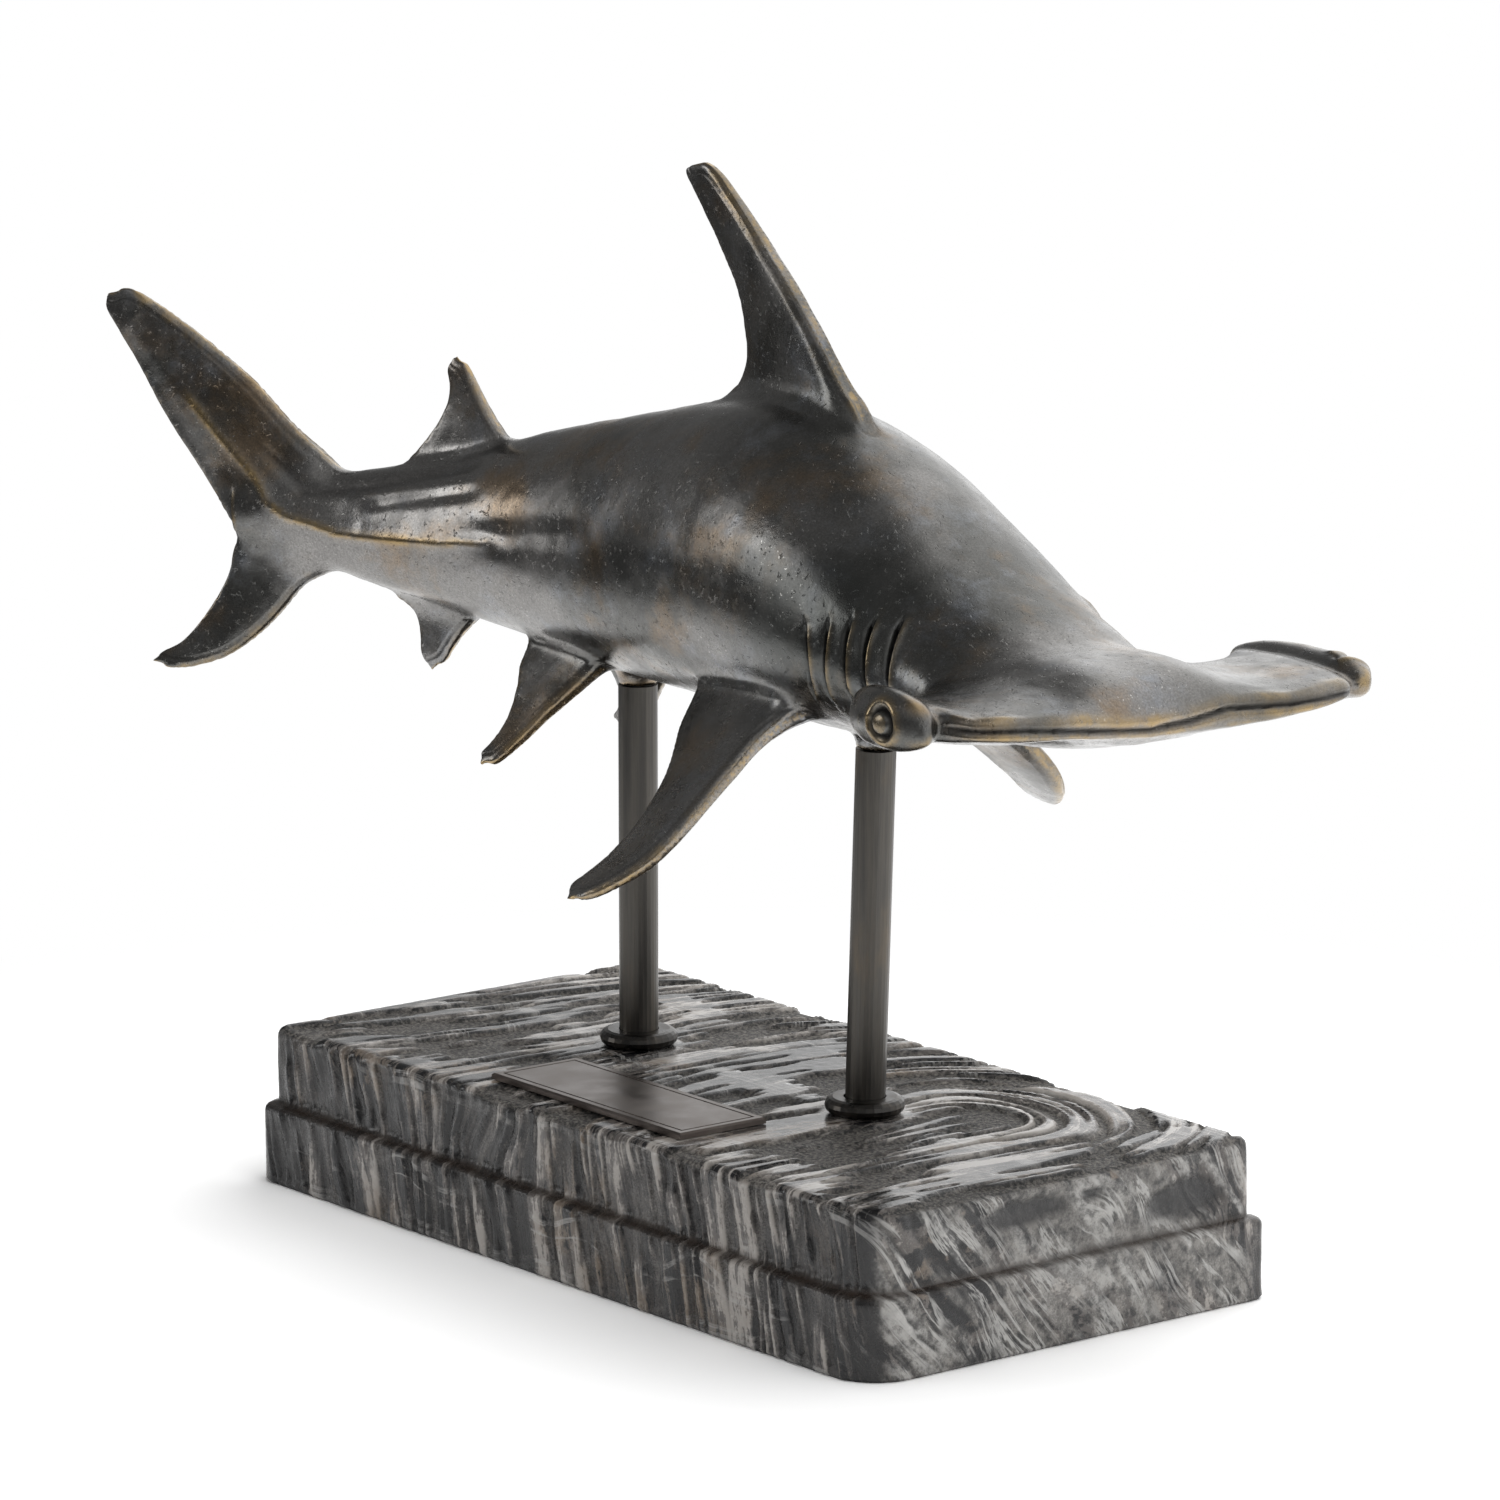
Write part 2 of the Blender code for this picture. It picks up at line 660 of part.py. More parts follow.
def nostril_cutter(side):
    """A short slit in the front edge, just inside the end of the head."""
    middle_y, middle_z = NOSTRILS[1 if side > 0 else 0]
    low = middle_z - NOSTRIL_OPENING / 2
    high = middle_z + NOSTRIL_OPENING / 2
    ends = (middle_y - NOSTRIL_LENGTH / 2, middle_y + NOSTRIL_LENGTH / 2)
    ring = []
    for x, z in ((NOSTRIL_X, high), (NOSTRIL_X + 20, high), (NOSTRIL_X + 20, low), (NOSTRIL_X, low)):
        ring.append([(x, y, z) for y in ends])
    rings = np.array(ring).transpose(1, 0, 2) * MM
    return loft(f"nostril_cut_{'left' if side > 0 else 'right'}", pose(rings.reshape(-1, 3)).reshape(2, 4, 3))


def boss(name, axis, length):
    """The flared weld around a post's top, open below for the tenon."""
    post_top = length + GAP
    radius = POST_DIAMETER / 2
    profile = []
    for t in np.linspace(0, 1, 5):
        profile.append((radius + BOSS_SPREAD * t**2.2, post_top + BOSS_HEIGHT * t))
    profile.append((radius * 0.7, post_top + BOSS_HEIGHT + BOSS_ROOT))
    return hang(turned(name, profile, 20), axis)


def socket(name, axis, length):
    """Room in the casting for a post and its tenon, from the stone up."""
    post_room = POST_DIAMETER / 2 + GAP
    tenon_room = TENON_DIAMETER / 2 + GAP
    shoulder = length + GAP / 2
    top = length + TENON_LENGTH + GAP
    profile = ((post_room, 0.0), (post_room, shoulder), (tenon_room, shoulder), (tenon_room, top))
    return hang(turned(name, profile, 24), axis)


def casting(rear_axis, front_axis):
    """The bronze shark, one casting: body, head wing, fins and the two welded bosses."""

    def posed(name, rings):
        size = rings.shape
        return loft(name, pose(rings.reshape(-1, 3)).reshape(size))

    shark = posed("shark", body_rings())
    joined = [
        posed("head_wing", head_rings()),
        posed("first_dorsal", fin_rings(FIRST_DORSAL, 14)),
        posed("second_dorsal", fin_rings(SECOND_DORSAL, 9)),
        posed("anal_fin", fin_rings(ANAL_FIN, 8)),
        posed("upper_tail", fin_rings(UPPER_TAIL, 13)),
        posed("lower_tail", fin_rings(LOWER_TAIL, 12)),
        posed("tail_core", core_rings()),
    ]
    for word, side, row in (("right", -1, 0), ("left", 1, 1)):
        pectoral = fin_rings(PECTORAL, 14, PECTORAL_ROOT[row], PECTORAL_DROP[row], side)
        pelvic = fin_rings(PELVIC, 9, PELVIC_ROOT[row], PELVIC_DROP[row], side)
        joined.append(posed(f"pectoral_{word}", pectoral))
        joined.append(posed(f"pelvic_{word}", pelvic))
    joined.append(boss("rear_boss", rear_axis, REAR_POST_LENGTH))
    joined.append(boss("front_boss", front_axis, FRONT_POST_LENGTH))
    for piece in joined:
        combine(shark, piece, "UNION")
    cuts = [mouth_cutter()]
    for side in (-1, 1):
        cuts.append(eye_cutter(side))
        cuts.append(nostril_cutter(side))
        for index in range(len(GILLS)):
            cuts.append(gill_cutter(index, side))
    cuts.append(socket("rear_socket", rear_axis, REAR_POST_LENGTH))
    cuts.append(socket("front_socket", front_axis, FRONT_POST_LENGTH))
    for cutter in cuts:
        combine(shark, cutter, "DIFFERENCE")
    for piece in [shark] + joined + cuts:
        shade(piece)
    paint(shark, bronze_material())
    return shark


def post(name, axis, length, made):
    """A round post with a tenon for the casting above and a threaded hole for the stud below."""
    radius = POST_DIAMETER / 2
    tenon = TENON_DIAMETER / 2
    profile = (
        (radius - 0.0005, GAP),
        (radius, GAP + 0.0005),
        (radius, length),
        (tenon, length),
        (tenon, length + TENON_LENGTH - 0.0006),
        (tenon - 0.0006, length + TENON_LENGTH),
    )
    thing = hang(turned(name, profile, 28), axis)
    hole_radius = STUD_DIAMETER / 2 + GAP
    hole = turned(f"{name}_hole", ((hole_radius, -0.002), (hole_radius, STUD_GRIP + GAP)), 20)
    combine(thing, hang(hole, axis), "DIFFERENCE")
    shade(thing)
    paint(thing, made)
    return thing


def collar(name, x, lean, made):
    """A ring with a full-round rim that covers the post's hole in the stone."""
    inner = POST_DIAMETER / 2 + GAP
    if lean:
        inner += COLLAR_HEIGHT * math.sin(math.radians(abs(lean)))
    outer = COLLAR_DIAMETER / 2
    half = COLLAR_HEIGHT / 2
    profile = [(inner, 0.0)]
    for angle in np.linspace(-90, 90, 7):
        profile.append(
            (outer - half + half * math.cos(math.radians(angle)), half + half * math.sin(math.radians(angle)))
        )
    profile.append((inner, COLLAR_HEIGHT))
    thing = ring_turned(name, profile, 28)
    thing.location = (x, POST_Y, BASE_HEIGHT + GAP)
    shade(thing)
    paint(thing, made)
    return thing


def stud(name, axis, made):
    """The threaded rod that ties a post to the stone, drawn at its outside diameter."""
    radius = STUD_DIAMETER / 2
    bottom = COUNTERBORE_DEPTH - WASHER_THICKNESS - NUT_HEIGHT - STUD_END - BASE_HEIGHT
    chamfer = 0.0006
    profile = (
        (radius - chamfer, bottom),
        (radius, bottom + chamfer),
        (radius, STUD_GRIP - chamfer),
        (radius - chamfer, STUD_GRIP),
    )
    thing = hang(turned(name, profile, 20), axis)
    shade(thing)
    paint(thing, made)
    return thing


def washer(name, axis, made):
    top = COUNTERBORE_DEPTH - GAP - BASE_HEIGHT
    inner = STUD_DIAMETER / 2 + GAP
    outer = WASHER_DIAMETER / 2
    profile = (
        (inner, top - WASHER_THICKNESS),
        (outer, top - WASHER_THICKNESS),
        (outer, top),
        (inner, top),
    )
    thing = hang(ring_turned(name, profile, 24), axis)
    shade(thing)
    paint(thing, made)
    return thing


def nut(name, axis, made):
    """A hexagon nut, bored to clear the stud."""
    top = COUNTERBORE_DEPTH - GAP - WASHER_THICKNESS - GAP - BASE_HEIGHT
    radius = NUT_ACROSS_FLATS / 2 / math.cos(math.radians(30))
    thing = turned(name, ((radius, top - NUT_HEIGHT), (radius, top)), 6)
    hole_radius = STUD_DIAMETER / 2 + GAP
    hole = turned(f"{name}_hole", ((hole_radius, top - 0.010), (hole_radius, top + 0.002)), 20)
    combine(thing, hang(hole, axis), "DIFFERENCE")
    hang(thing, axis)
    paint(thing, made)
    return thing


def wobble(a, b):
    """A repeatable value from -1 to 1 for a pair of numbers."""
    return math.sin(a * 12.9898 + b * 4.1414 + math.sin(a * 3.7 + b * 7.3) * 2.0)


def ridge_columns():
    """Positions along the stone and how deep each column is cut: two edges of a ridge, then a groove."""
    half = BASE_LENGTH / 2 - STEP_INSET
    widths = [1.0 + 0.34 * wobble(i, 3.0) for i in range(RIDGE_COUNT)]
    scale = 2 * half / sum(widths)
    columns = [(-half, 0.0)]
    start = -half
    for i, width in enumerate(widths):
        reach = width * scale
        groove = 0.42 + 0.16 * wobble(i, 1.0)
        depth = 0.75 + 0.35 * wobble(i, 5.0)
        columns.append((start + reach * (1 - groove), 0.0))
        if i < RIDGE_COUNT - 1:
            columns.append((start + reach * (1 - groove * 0.45), depth))
            columns.append((start + reach, 0.0))
        start += reach
    columns.append((half, 0.0))
    return columns


def round_corner(x, y, half_x, half_y, inset):
    """A point of the straight-sided rectangle moved inside its rounded corners, which shrink by inset."""
    if x > 0:
        radius = (HEAD_LEFT_CORNER if y > 0 else HEAD_RIGHT_CORNER) - inset
    else:
        radius = (TAIL_LEFT_CORNER if y > 0 else TAIL_RIGHT_CORNER) - inset
    radius = max(radius, 0.003)
    over_x = abs(x) - (half_x - radius)
    over_y = abs(y) - (half_y - radius)
    if over_x <= 0 or over_y <= 0:
        return x, y
    a = over_x / radius
    b = over_y / radius
    new_x = half_x - radius + radius * a * math.sqrt(1 - b * b / 2)
    new_y = half_y - radius + radius * b * math.sqrt(1 - a * a / 2)
    return math.copysign(new_x, x), math.copysign(new_y, y)


def calm(x, y):
    """1 on open stone and 0 where a post and its collar are seated."""
    level = 1.0
    for post_x in (REAR_POST_X, FRONT_POST_X):
        away = math.hypot(x - post_x, y - POST_Y)
        level = min(level, min(1.0, max(0.0, (away - SEAT_RADIUS) / 0.006)))
    return level


def stone_base(rear_axis, front_axis, made):
    """The stone: one block with a cut step, grooved along its grain, bored for the two studs."""
    columns = ridge_columns()
    half_x = BASE_LENGTH / 2 - STEP_INSET
    half_y = BASE_WIDTH / 2 - STEP_INSET
    rows = np.linspace(-1, 1, ROWS_ACROSS + 1)
    flat_x = half_x - TOP_EDGE_ROUND
    flat_y = half_y - TOP_EDGE_ROUND
    points = []
    index = {}
    depths = {}
    for i, (x, depth) in enumerate(columns):
        for j, share in enumerate(rows):
            edge = 1 - (abs(x) / half_x) ** 6
            y = share * flat_y
            swirl = RIDGE_SWIRL * (math.sin(y * 38 + x * 21) + 0.7 * math.sin(y * 75 - x * 30))
            moved = x * flat_x / half_x - (RIDGE_LEAN * y + swirl) * edge
            px, py = round_corner(moved, y, flat_x, flat_y, STEP_INSET + TOP_EDGE_ROUND)
            strength = depth * (0.8 + 0.35 * wobble(i * 0.7, j * 1.3))
            cut = GROOVE_DEPTH * max(0.0, strength) * calm(px, py)
            index[i, j] = len(points)
            depths[i, j] = strength
            points.append((px, py, BASE_HEIGHT - cut))
    faces = []
    last_i = len(columns) - 1
    last_j = len(rows) - 1
    for i in range(last_i):
        for j in range(last_j):
            faces.append((index[i, j], index[i + 1, j], index[i + 1, j + 1], index[i, j + 1]))
    rim = [(i, 0) for i in range(last_i)]
    rim += [(last_i, j) for j in range(last_j)]
    rim += [(i, last_j) for i in range(last_i, 0, -1)]
    rim += [(0, j) for j in range(last_j, 0, -1)]
    levels = (
        (BASE_HEIGHT - TOP_EDGE_ROUND * 0.3, STEP_INSET + TOP_EDGE_ROUND * 0.3, 1.0),
        (BASE_HEIGHT - TOP_EDGE_ROUND, STEP_INSET, 1.0),
        (LOWER_STEP_HEIGHT + 0.0008, STEP_INSET, 0.8),
        (LOWER_STEP_HEIGHT, LEDGE_EDGE_ROUND * 0.8, 0.3),
        (LOWER_STEP_HEIGHT - LEDGE_EDGE_ROUND, 0.0, 1.0),
        (FOOT_BEVEL, 0.0, 0.8),
        (0.0, FOOT_BEVEL, 0.0),
    )
    previous = [index[key] for key in rim]
    for number, (z, inset, carve) in enumerate(levels):
        outline_x = BASE_LENGTH / 2 - inset
        outline_y = BASE_WIDTH / 2 - inset
        current = []
        for i, j in rim:
            top_x, top_y, _ = points[index[i, j]]
            share_x = columns[i][0] / half_x
            on_long_side = j in (0, last_j)
            shift = LAYER_DIP * (BASE_HEIGHT - z) * (1 - abs(share_x) ** 4) if on_long_side else 0.0
            lean = RIDGE_LEAN * rows[j] * flat_y * (1 - abs(share_x) ** 6)
            x = share_x * outline_x - lean + shift
            y = rows[j] * outline_y
            x = max(-outline_x, min(outline_x, x))
            groove = max(0.0, depths[i, j]) if on_long_side else 0.5 + 0.5 * wobble(j * 2.1, number)
            pull = RIB_DEPTH * carve * groove
            x, y = round_corner(x, y, outline_x, outline_y, inset)
            if on_long_side:
                y -= math.copysign(pull, y)
            else:
                x -= math.copysign(pull, x)
            current.append(len(points))
            points.append((x, y, z))
        count = len(rim)
        for k in range(count):
            following = (k + 1) % count
            faces.append((previous[k], current[k], current[following], previous[following]))
        previous = current
    faces.append(tuple(previous))
    stone = mesh_object("stone_base", points, faces)
    for word, axis in (("rear", rear_axis), ("front", front_axis)):
        hole_radius = STUD_DIAMETER / 2 + STONE_HOLE_CLEARANCE
        hole = turned(f"{word}_stone_hole", ((hole_radius, -BASE_HEIGHT - 0.004), (hole_radius, 0.004)), 20)
        combine(stone, hang(hole, axis), "DIFFERENCE")
        wide = COUNTERBORE_DIAMETER / 2
        pocket_profile = ((wide, -BASE_HEIGHT - 0.004), (wide, COUNTERBORE_DEPTH - BASE_HEIGHT))
        pocket = turned(f"{word}_stone_pocket", pocket_profile, 28)
        combine(stone, hang(pocket, axis), "DIFFERENCE")
    shade(stone, 28.0)
    paint(stone, made)
    return stone


def plate_outline(length, width, z):
    return [(sx * length / 2, sy * width / 2, z) for sx, sy in ((-1, -1), (1, -1), (1, 1), (-1, 1))]


def plaque(made):
    """A thin plate with a chamfered edge and one engraved border line; its face is otherwise bare."""
    edge = PLAQUE_EDGE
    rings = [
        plate_outline(PLAQUE_LENGTH, PLAQUE_WIDTH, 0.0),
        plate_outline(PLAQUE_LENGTH, PLAQUE_WIDTH, PLAQUE_THICKNESS - edge),
        plate_outline(PLAQUE_LENGTH - 2 * edge, PLAQUE_WIDTH - 2 * edge, PLAQUE_THICKNESS),
    ]
    plate = loft("plaque", np.array(rings))
    outer_x = PLAQUE_LENGTH / 2 - BORDER_INSET
    outer_y = PLAQUE_WIDTH / 2 - BORDER_INSET
    points = []
    faces = []
    low = PLAQUE_THICKNESS - BORDER_DEPTH
    high = PLAQUE_THICKNESS + 0.001
    for sx, sy in ((-1, -1), (1, -1), (1, 1), (-1, 1)):
        for inset, z in ((0.0, low), (0.0, high), (BORDER_WIDTH, high), (BORDER_WIDTH, low)):
            points.append((sx * (outer_x - inset), sy * (outer_y - inset), z))
    for i in range(4):
        following = (i + 1) % 4
        for j in range(4):
            k = (j + 1) % 4
            faces.append((i * 4 + j, i * 4 + k, following * 4 + k, following * 4 + j))
    line = mesh_object("plaque_border_cut", points, faces)
    line.parent = plate
    combine(plate, line, "DIFFERENCE")
    plate.location = (PLAQUE_X, PLAQUE_Y, BASE_HEIGHT + GAP)
    plate.rotation_euler = (0.0, 0.0, math.radians(PLAQUE_TURN))
    paint(plate, made)
    return plate


def main():
    clear_scene()
    rear_axis = axis_at("rear_axis", REAR_POST_X, REAR_POST_LEAN)
    front_axis = axis_at("front_axis", FRONT_POST_X, FRONT_POST_LEAN)
    casting(rear_axis, front_axis)
    post_metal = post_material()
    collar_metal = collar_material()
    steel = steel_material()
    post("rear_post", rear_axis, REAR_POST_LENGTH, post_metal)
    post("front_post", front_axis, FRONT_POST_LENGTH, post_metal)
    collar("rear_collar", REAR_POST_X, REAR_POST_LEAN, collar_metal)
    collar("front_collar", FRONT_POST_X, FRONT_POST_LEAN, collar_metal)
    for word, axis in (("rear", rear_axis), ("front", front_axis)):
        stud(f"{word}_stud", axis, steel)
        washer(f"{word}_washer", axis, steel)
        nut(f"{word}_nut", axis, steel)
    stone_base(rear_axis, front_axis, stone_material())
    plaque(plaque_material())


main()
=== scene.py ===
"""The looks of the hammerhead shark figurine: bronze, posts, collars, carved stone, plaque and studio.

Metres in the row frame. The tables that shape the casting are in millimetres, in the straight shark's
own space, as in the part's source; pose() curls them into the swimming pose.
"""

import math

import bmesh
import bpy
import numpy as np
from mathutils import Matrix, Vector
from mathutils.bvhtree import BVHTree
from mathutils.kdtree import KDTree


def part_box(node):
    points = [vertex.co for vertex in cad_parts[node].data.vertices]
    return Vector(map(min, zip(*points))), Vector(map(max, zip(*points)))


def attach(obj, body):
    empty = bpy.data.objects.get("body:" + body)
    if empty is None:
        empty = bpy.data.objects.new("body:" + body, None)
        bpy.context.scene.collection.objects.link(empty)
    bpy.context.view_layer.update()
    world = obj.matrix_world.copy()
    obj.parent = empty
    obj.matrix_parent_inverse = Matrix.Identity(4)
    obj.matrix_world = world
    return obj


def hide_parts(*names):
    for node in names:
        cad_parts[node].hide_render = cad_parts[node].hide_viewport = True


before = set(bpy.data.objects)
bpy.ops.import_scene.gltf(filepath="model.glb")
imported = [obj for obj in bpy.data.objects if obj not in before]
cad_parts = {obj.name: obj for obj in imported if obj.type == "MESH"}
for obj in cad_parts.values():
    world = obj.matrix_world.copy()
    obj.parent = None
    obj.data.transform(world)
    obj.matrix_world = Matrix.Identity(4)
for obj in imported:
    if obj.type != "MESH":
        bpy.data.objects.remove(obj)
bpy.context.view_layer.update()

MM = 0.001

# Camera and studio
CAMERA_PLACE = (2.240, -1.793, 0.782)
CAMERA_LOOKS = (-0.7648, 0.6129, -0.1988)
CAMERA_LENS = 176.6

# Stone base
BASE_LENGTH = 0.400
BASE_WIDTH = 0.204
BASE_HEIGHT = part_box("stone_base")[1].z
LOWER_STEP_HEIGHT = 0.033
STEP_INSET = 0.0055
CORNERS = {(1, -1): 0.022, (1, 1): 0.006, (-1, -1): 0.013, (-1, 1): 0.012}
TOP_EDGE_ROUND = 0.0045
LEDGE_EDGE_ROUND = 0.003
STEP_FOOT = 0.0006
FOOT_BEVEL = 0.0015
POST_DIAMETER = 0.016
POST_Y = 0.002
POST_X = (-0.0725, 0.0725)
POST_LEAN = (0.0, 2.4)
POST_LENGTH = (0.1500, 0.1475)
SEAT_RADIUS = 0.019
STUD_HOLE = 0.005
COUNTERBORE_RADIUS = 0.012
COUNTERBORE_DEPTH = 0.014
BOSS_SPREAD = 0.0065
BOSS_HEIGHT = 0.010
GAP = 0.0003

# Plaque
PLAQUE_LENGTH = 0.1245
PLAQUE_WIDTH = 0.0425
PLAQUE_THICKNESS = 0.0025
PLAQUE_PLACE = (0.0, -0.0603)
PLAQUE_TURN = -0.8
PLAQUE_CHAMFER = 0.0008
BORDER_INSET = 0.0032
BORDER_WIDTH = 0.0009
BORDER_DEPTH = 0.0006

# The swimming pose
SHARK_SHIFT = (0.010, 0.002, 0.0026)
TAIL_BEND_START = -0.010
TAIL_BEND_LENGTH = 0.230
TAIL_BEND_ANGLE = 38.0
TAIL_TIP_ANGLE = 8.0
TAIL_TIP_LENGTH = 0.100
HEAD_TURN_START = 0.100
HEAD_TURN_LENGTH = 0.120
HEAD_TURN_ANGLE = 8.0

# Body stations: x, top z, bottom z, half width, share of the height where it is widest, belly squareness
BODY = (
    (-262, 288.0, 262.0, 6.0, 0.50, 2.0),
    (-240, 291.0, 257.0, 10.5, 0.50, 2.0),
    (-215, 291.0, 248.5, 15.5, 0.50, 2.0),
    (-170, 299.0, 238.5, 26.0, 0.50, 2.0),
    (-120, 313.5, 228.5, 37.0, 0.50, 2.0),
    (-70, 326.0, 220.5, 47.0, 0.48, 2.0),
    (-20, 337.0, 217.5, 54.0, 0.46, 2.0),
    (30, 341.5, 217.5, 58.0, 0.45, 2.0),
    (75, 329.5, 218.0, 59.0, 0.44, 2.0),
    (110, 310.0, 220.5, 57.0, 0.42, 2.0),
    (145, 287.5, 224.5, 53.0, 0.42, 2.1),
    (180, 271.5, 230.5, 47.0, 0.42, 2.2),
    (208, 261.5, 233.8, 38.0, 0.45, 2.2),
    (232, 253.5, 238.8, 24.0, 0.50, 2.2),
)

# Head wing stations, right tip to left tip: y, rear x, front x, height of the front edge, thickness above
# and below it. The wing narrows at a notch before each eye lobe; the left lobe reaches further back.
HEAD = (
    (-106.5, 207, 222.0, 255.2, 2.8, 2.8),
    (-104.3, 198, 230.5, 254.8, 9.2, 7.0),
    (-100.5, 190, 236.5, 254.2, 12.8, 9.2),
    (-94.5, 186, 239.5, 253.6, 12.6, 8.6),
    (-88.5, 185, 236.0, 253.0, 9.4, 6.0),
    (-83.0, 184, 243.0, 252.4, 8.6, 4.8),
    (-74, 180, 248.0, 251.8, 8.0, 4.4),
    (-60, 174, 250.5, 251.0, 9.0, 4.8),
    (-40, 160, 251.0, 250.0, 12.5, 4.4),
    (-20, 150, 250.0, 249.2, 19.0, 6.0),
    (0, 150, 247.5, 248.6, 20.0, 8.2),
    (20, 150, 250.5, 248.0, 20.0, 7.4),
    (40, 160, 252.0, 248.2, 13.0, 5.4),
    (60, 173, 252.0, 249.4, 8.4, 4.2),
    (78, 177, 250.5, 251.4, 7.2, 3.6),
    (87, 172, 246.5, 252.6, 6.0, 4.0),
    (93.0, 166, 238.0, 252.8, 4.4, 5.6),
    (97.5, 163, 239.5, 252.8, 6.8, 7.6),
    (102.5, 168, 237.5, 253.0, 7.6, 8.4),
    (106.5, 182, 231.0, 253.2, 5.8, 6.8),
    (109.0, 200, 221.0, 253.4, 2.4, 2.4),
)
# How far each side's finely spaced sections reach in from the tip, in rows of the table
HEAD_LOBE_ROWS = 5
# Roundness of the wing's section at the front and rear; a smaller number is blunter
HEAD_FRONT_ROUNDING = (0.62, 0.72)
HEAD_REAR_ROUNDING = (0.9, 0.9)

# Upright fins, root to tip: front x, front z, rear x, rear z, half thickness
FIRST_DORSAL = (
    (68, 326, -46, 320, 9.0),
    (59.5, 342, -30, 334, 8.0),
    (52, 349, -17, 343.5, 6.5),
    (44, 357.5, -11.5, 354, 5.5),
    (33, 370, -12, 364, 5.0),
    (19.5, 384, -15, 375, 4.6),
    (6, 396, -20, 386, 4.2),
    (-8, 409, -28, 398, 3.7),
    (-20.5, 420, -36, 409, 3.1),
    (-30, 427.5, -44, 419, 2.4),
    (-37, 429.8, -48, 425.5, 1.6),
    (-43, 428.8, -43, 428.8, 0.0),
)
SECOND_DORSAL = (
    (-134, 298, -200, 286, 5.0),
    (-142, 311, -184.5, 299, 4.2),
    (-147, 318, -173.5, 312, 3.4),
    (-151.5, 325, -168.5, 321, 2.8),
    (-155.5, 332, -167, 329, 2.3),
    (-159.5, 338.5, -168, 336, 1.8),
    (-164.5, 341, -164.5, 341, 0.0),
)
ANAL_FIN = (
    (-144, 246, -207, 252, 5.0),
    (-154, 234, -193.5, 241.5, 4.0),
    (-161, 227, -184, 234, 3.2),
    (-166, 220, -181.5, 225, 2.6),
    (-170, 214.5, -181, 217, 1.9),
    (-176.5, 210.5, -176.5, 210.5, 0.0),
)
UPPER_TAIL = (
    (-200, 285, -225, 255, 9.0),
    (-214, 291, -255, 257, 6.5),
    (-226, 300.5, -262, 264, 5.0),
    (-238, 311, -267.5, 275, 4.2),
    (-252, 326, -278.5, 293, 3.6),
    (-266, 338, -291, 312, 3.1),
    (-282, 350, -301, 331, 2.6),
    (-297, 360, -309, 345, 2.0),
    (-306, 364, -315, 356, 1.3),
    (-314, 362, -314, 362, 0.0),
)
LOWER_TAIL = (
    (-205, 254, -232, 282, 8.0),
    (-221, 248, -256, 268, 5.5),
    (-232.5, 242, -262, 257, 4.6),
    (-242, 231.5, -264.5, 247, 4.0),
    (-253, 220.5, -269.5, 237, 3.5),
    (-264.5, 212, -277, 226.5, 3.0),
    (-278, 207, -285.5, 217, 2.4),
    (-290, 205.5, -294, 212.5, 1.7),
    (-298, 208, -298, 208, 0.0),
)
# The backbone's taper inside the upper tail lobe: x, z, half height, half width
TAIL_CORE = (
    (-205, 270.5, 15.0, 13.0),
    (-225, 274.5, 13.0, 9.5),
    (-243, 283.5, 11.0, 7.0),
    (-257, 301.0, 9.0, 5.2),
    (-272, 320.0, 7.0, 4.2),
    (-288, 339.5, 5.0, 3.2),
    (-300, 352.0, 3.0, 2.2),
)
# Paired fins, root to tip: front x, front span, front lift, rear x, rear span, rear lift, half thickness
PECTORAL = (
    (42, -12, 0, -40, -14, 0, 9.0),
    (38, 2, 0, -33, -2, 0, 7.5),
    (31, 12, 0, -29, 9, -0.5, 6.0),
    (27, 23, 0, -24.5, 22, -1.5, 5.0),
    (26.5, 36, 0, -18, 34, -2.5, 4.5),
    (26.5, 50, 0, -12, 48, -3.5, 4.1),
    (26, 64, -0.3, -9, 62, -4.5, 3.8),
    (24, 77, -1.3, -8, 75, -5, 3.4),
    (19, 89, -2.7, -9, 87, -5, 3.0),
    (11.5, 99, -3.3, -12, 96.5, -5, 2.4),
    (2, 107.5, -3.8, -14, 104, -4.6, 1.8),
    (-9, 111, -4.2, -9, 111, -4.2, 0.0),
)
PELVIC = (
    (29, -10, 0, -26, -12, 0, 7.0),
    (23, 1, 0, -24, -1, 0, 5.5),
    (15, 11, 0, -24, 8, 0, 4.2),
    (8, 20, 0, -21.5, 17, 0, 3.6),
    (0, 30, 0, -20.5, 27, 0, 3.1),
    (-7, 40, 0, -21.5, 36, 0, 2.7),
    (-14, 48, 0, -25, 43.5, 0, 2.1),
    (-19, 52, 0, -28, 48, 0, 1.5),
    (-26, 53, 0, -26, 53, 0, 0.0),
)
# Where each paired fin starts and how far its plane drops over its reach sideways, right then left
PECTORAL_ROOT = ((42.0, 40.0, 234.0), (33.5, 40.0, 234.0))
PECTORAL_DROP = (0.806, 0.735)
PELVIC_ROOT = ((-92.0, 22.0, 229.0), (-93.0, 22.0, 229.0))
PELVIC_DROP = (1.45, 1.60)

# Share of the chord and of the half thickness, from the groove in the front edge to the rear edge
FIN_SECTION = (
    (0.018, 0.0), (0.0, 0.42), (0.05, 0.82), (0.20, 1.0), (0.42, 0.93), (0.66, 0.62), (0.86, 0.30),
    (1.0, 0.0),
)

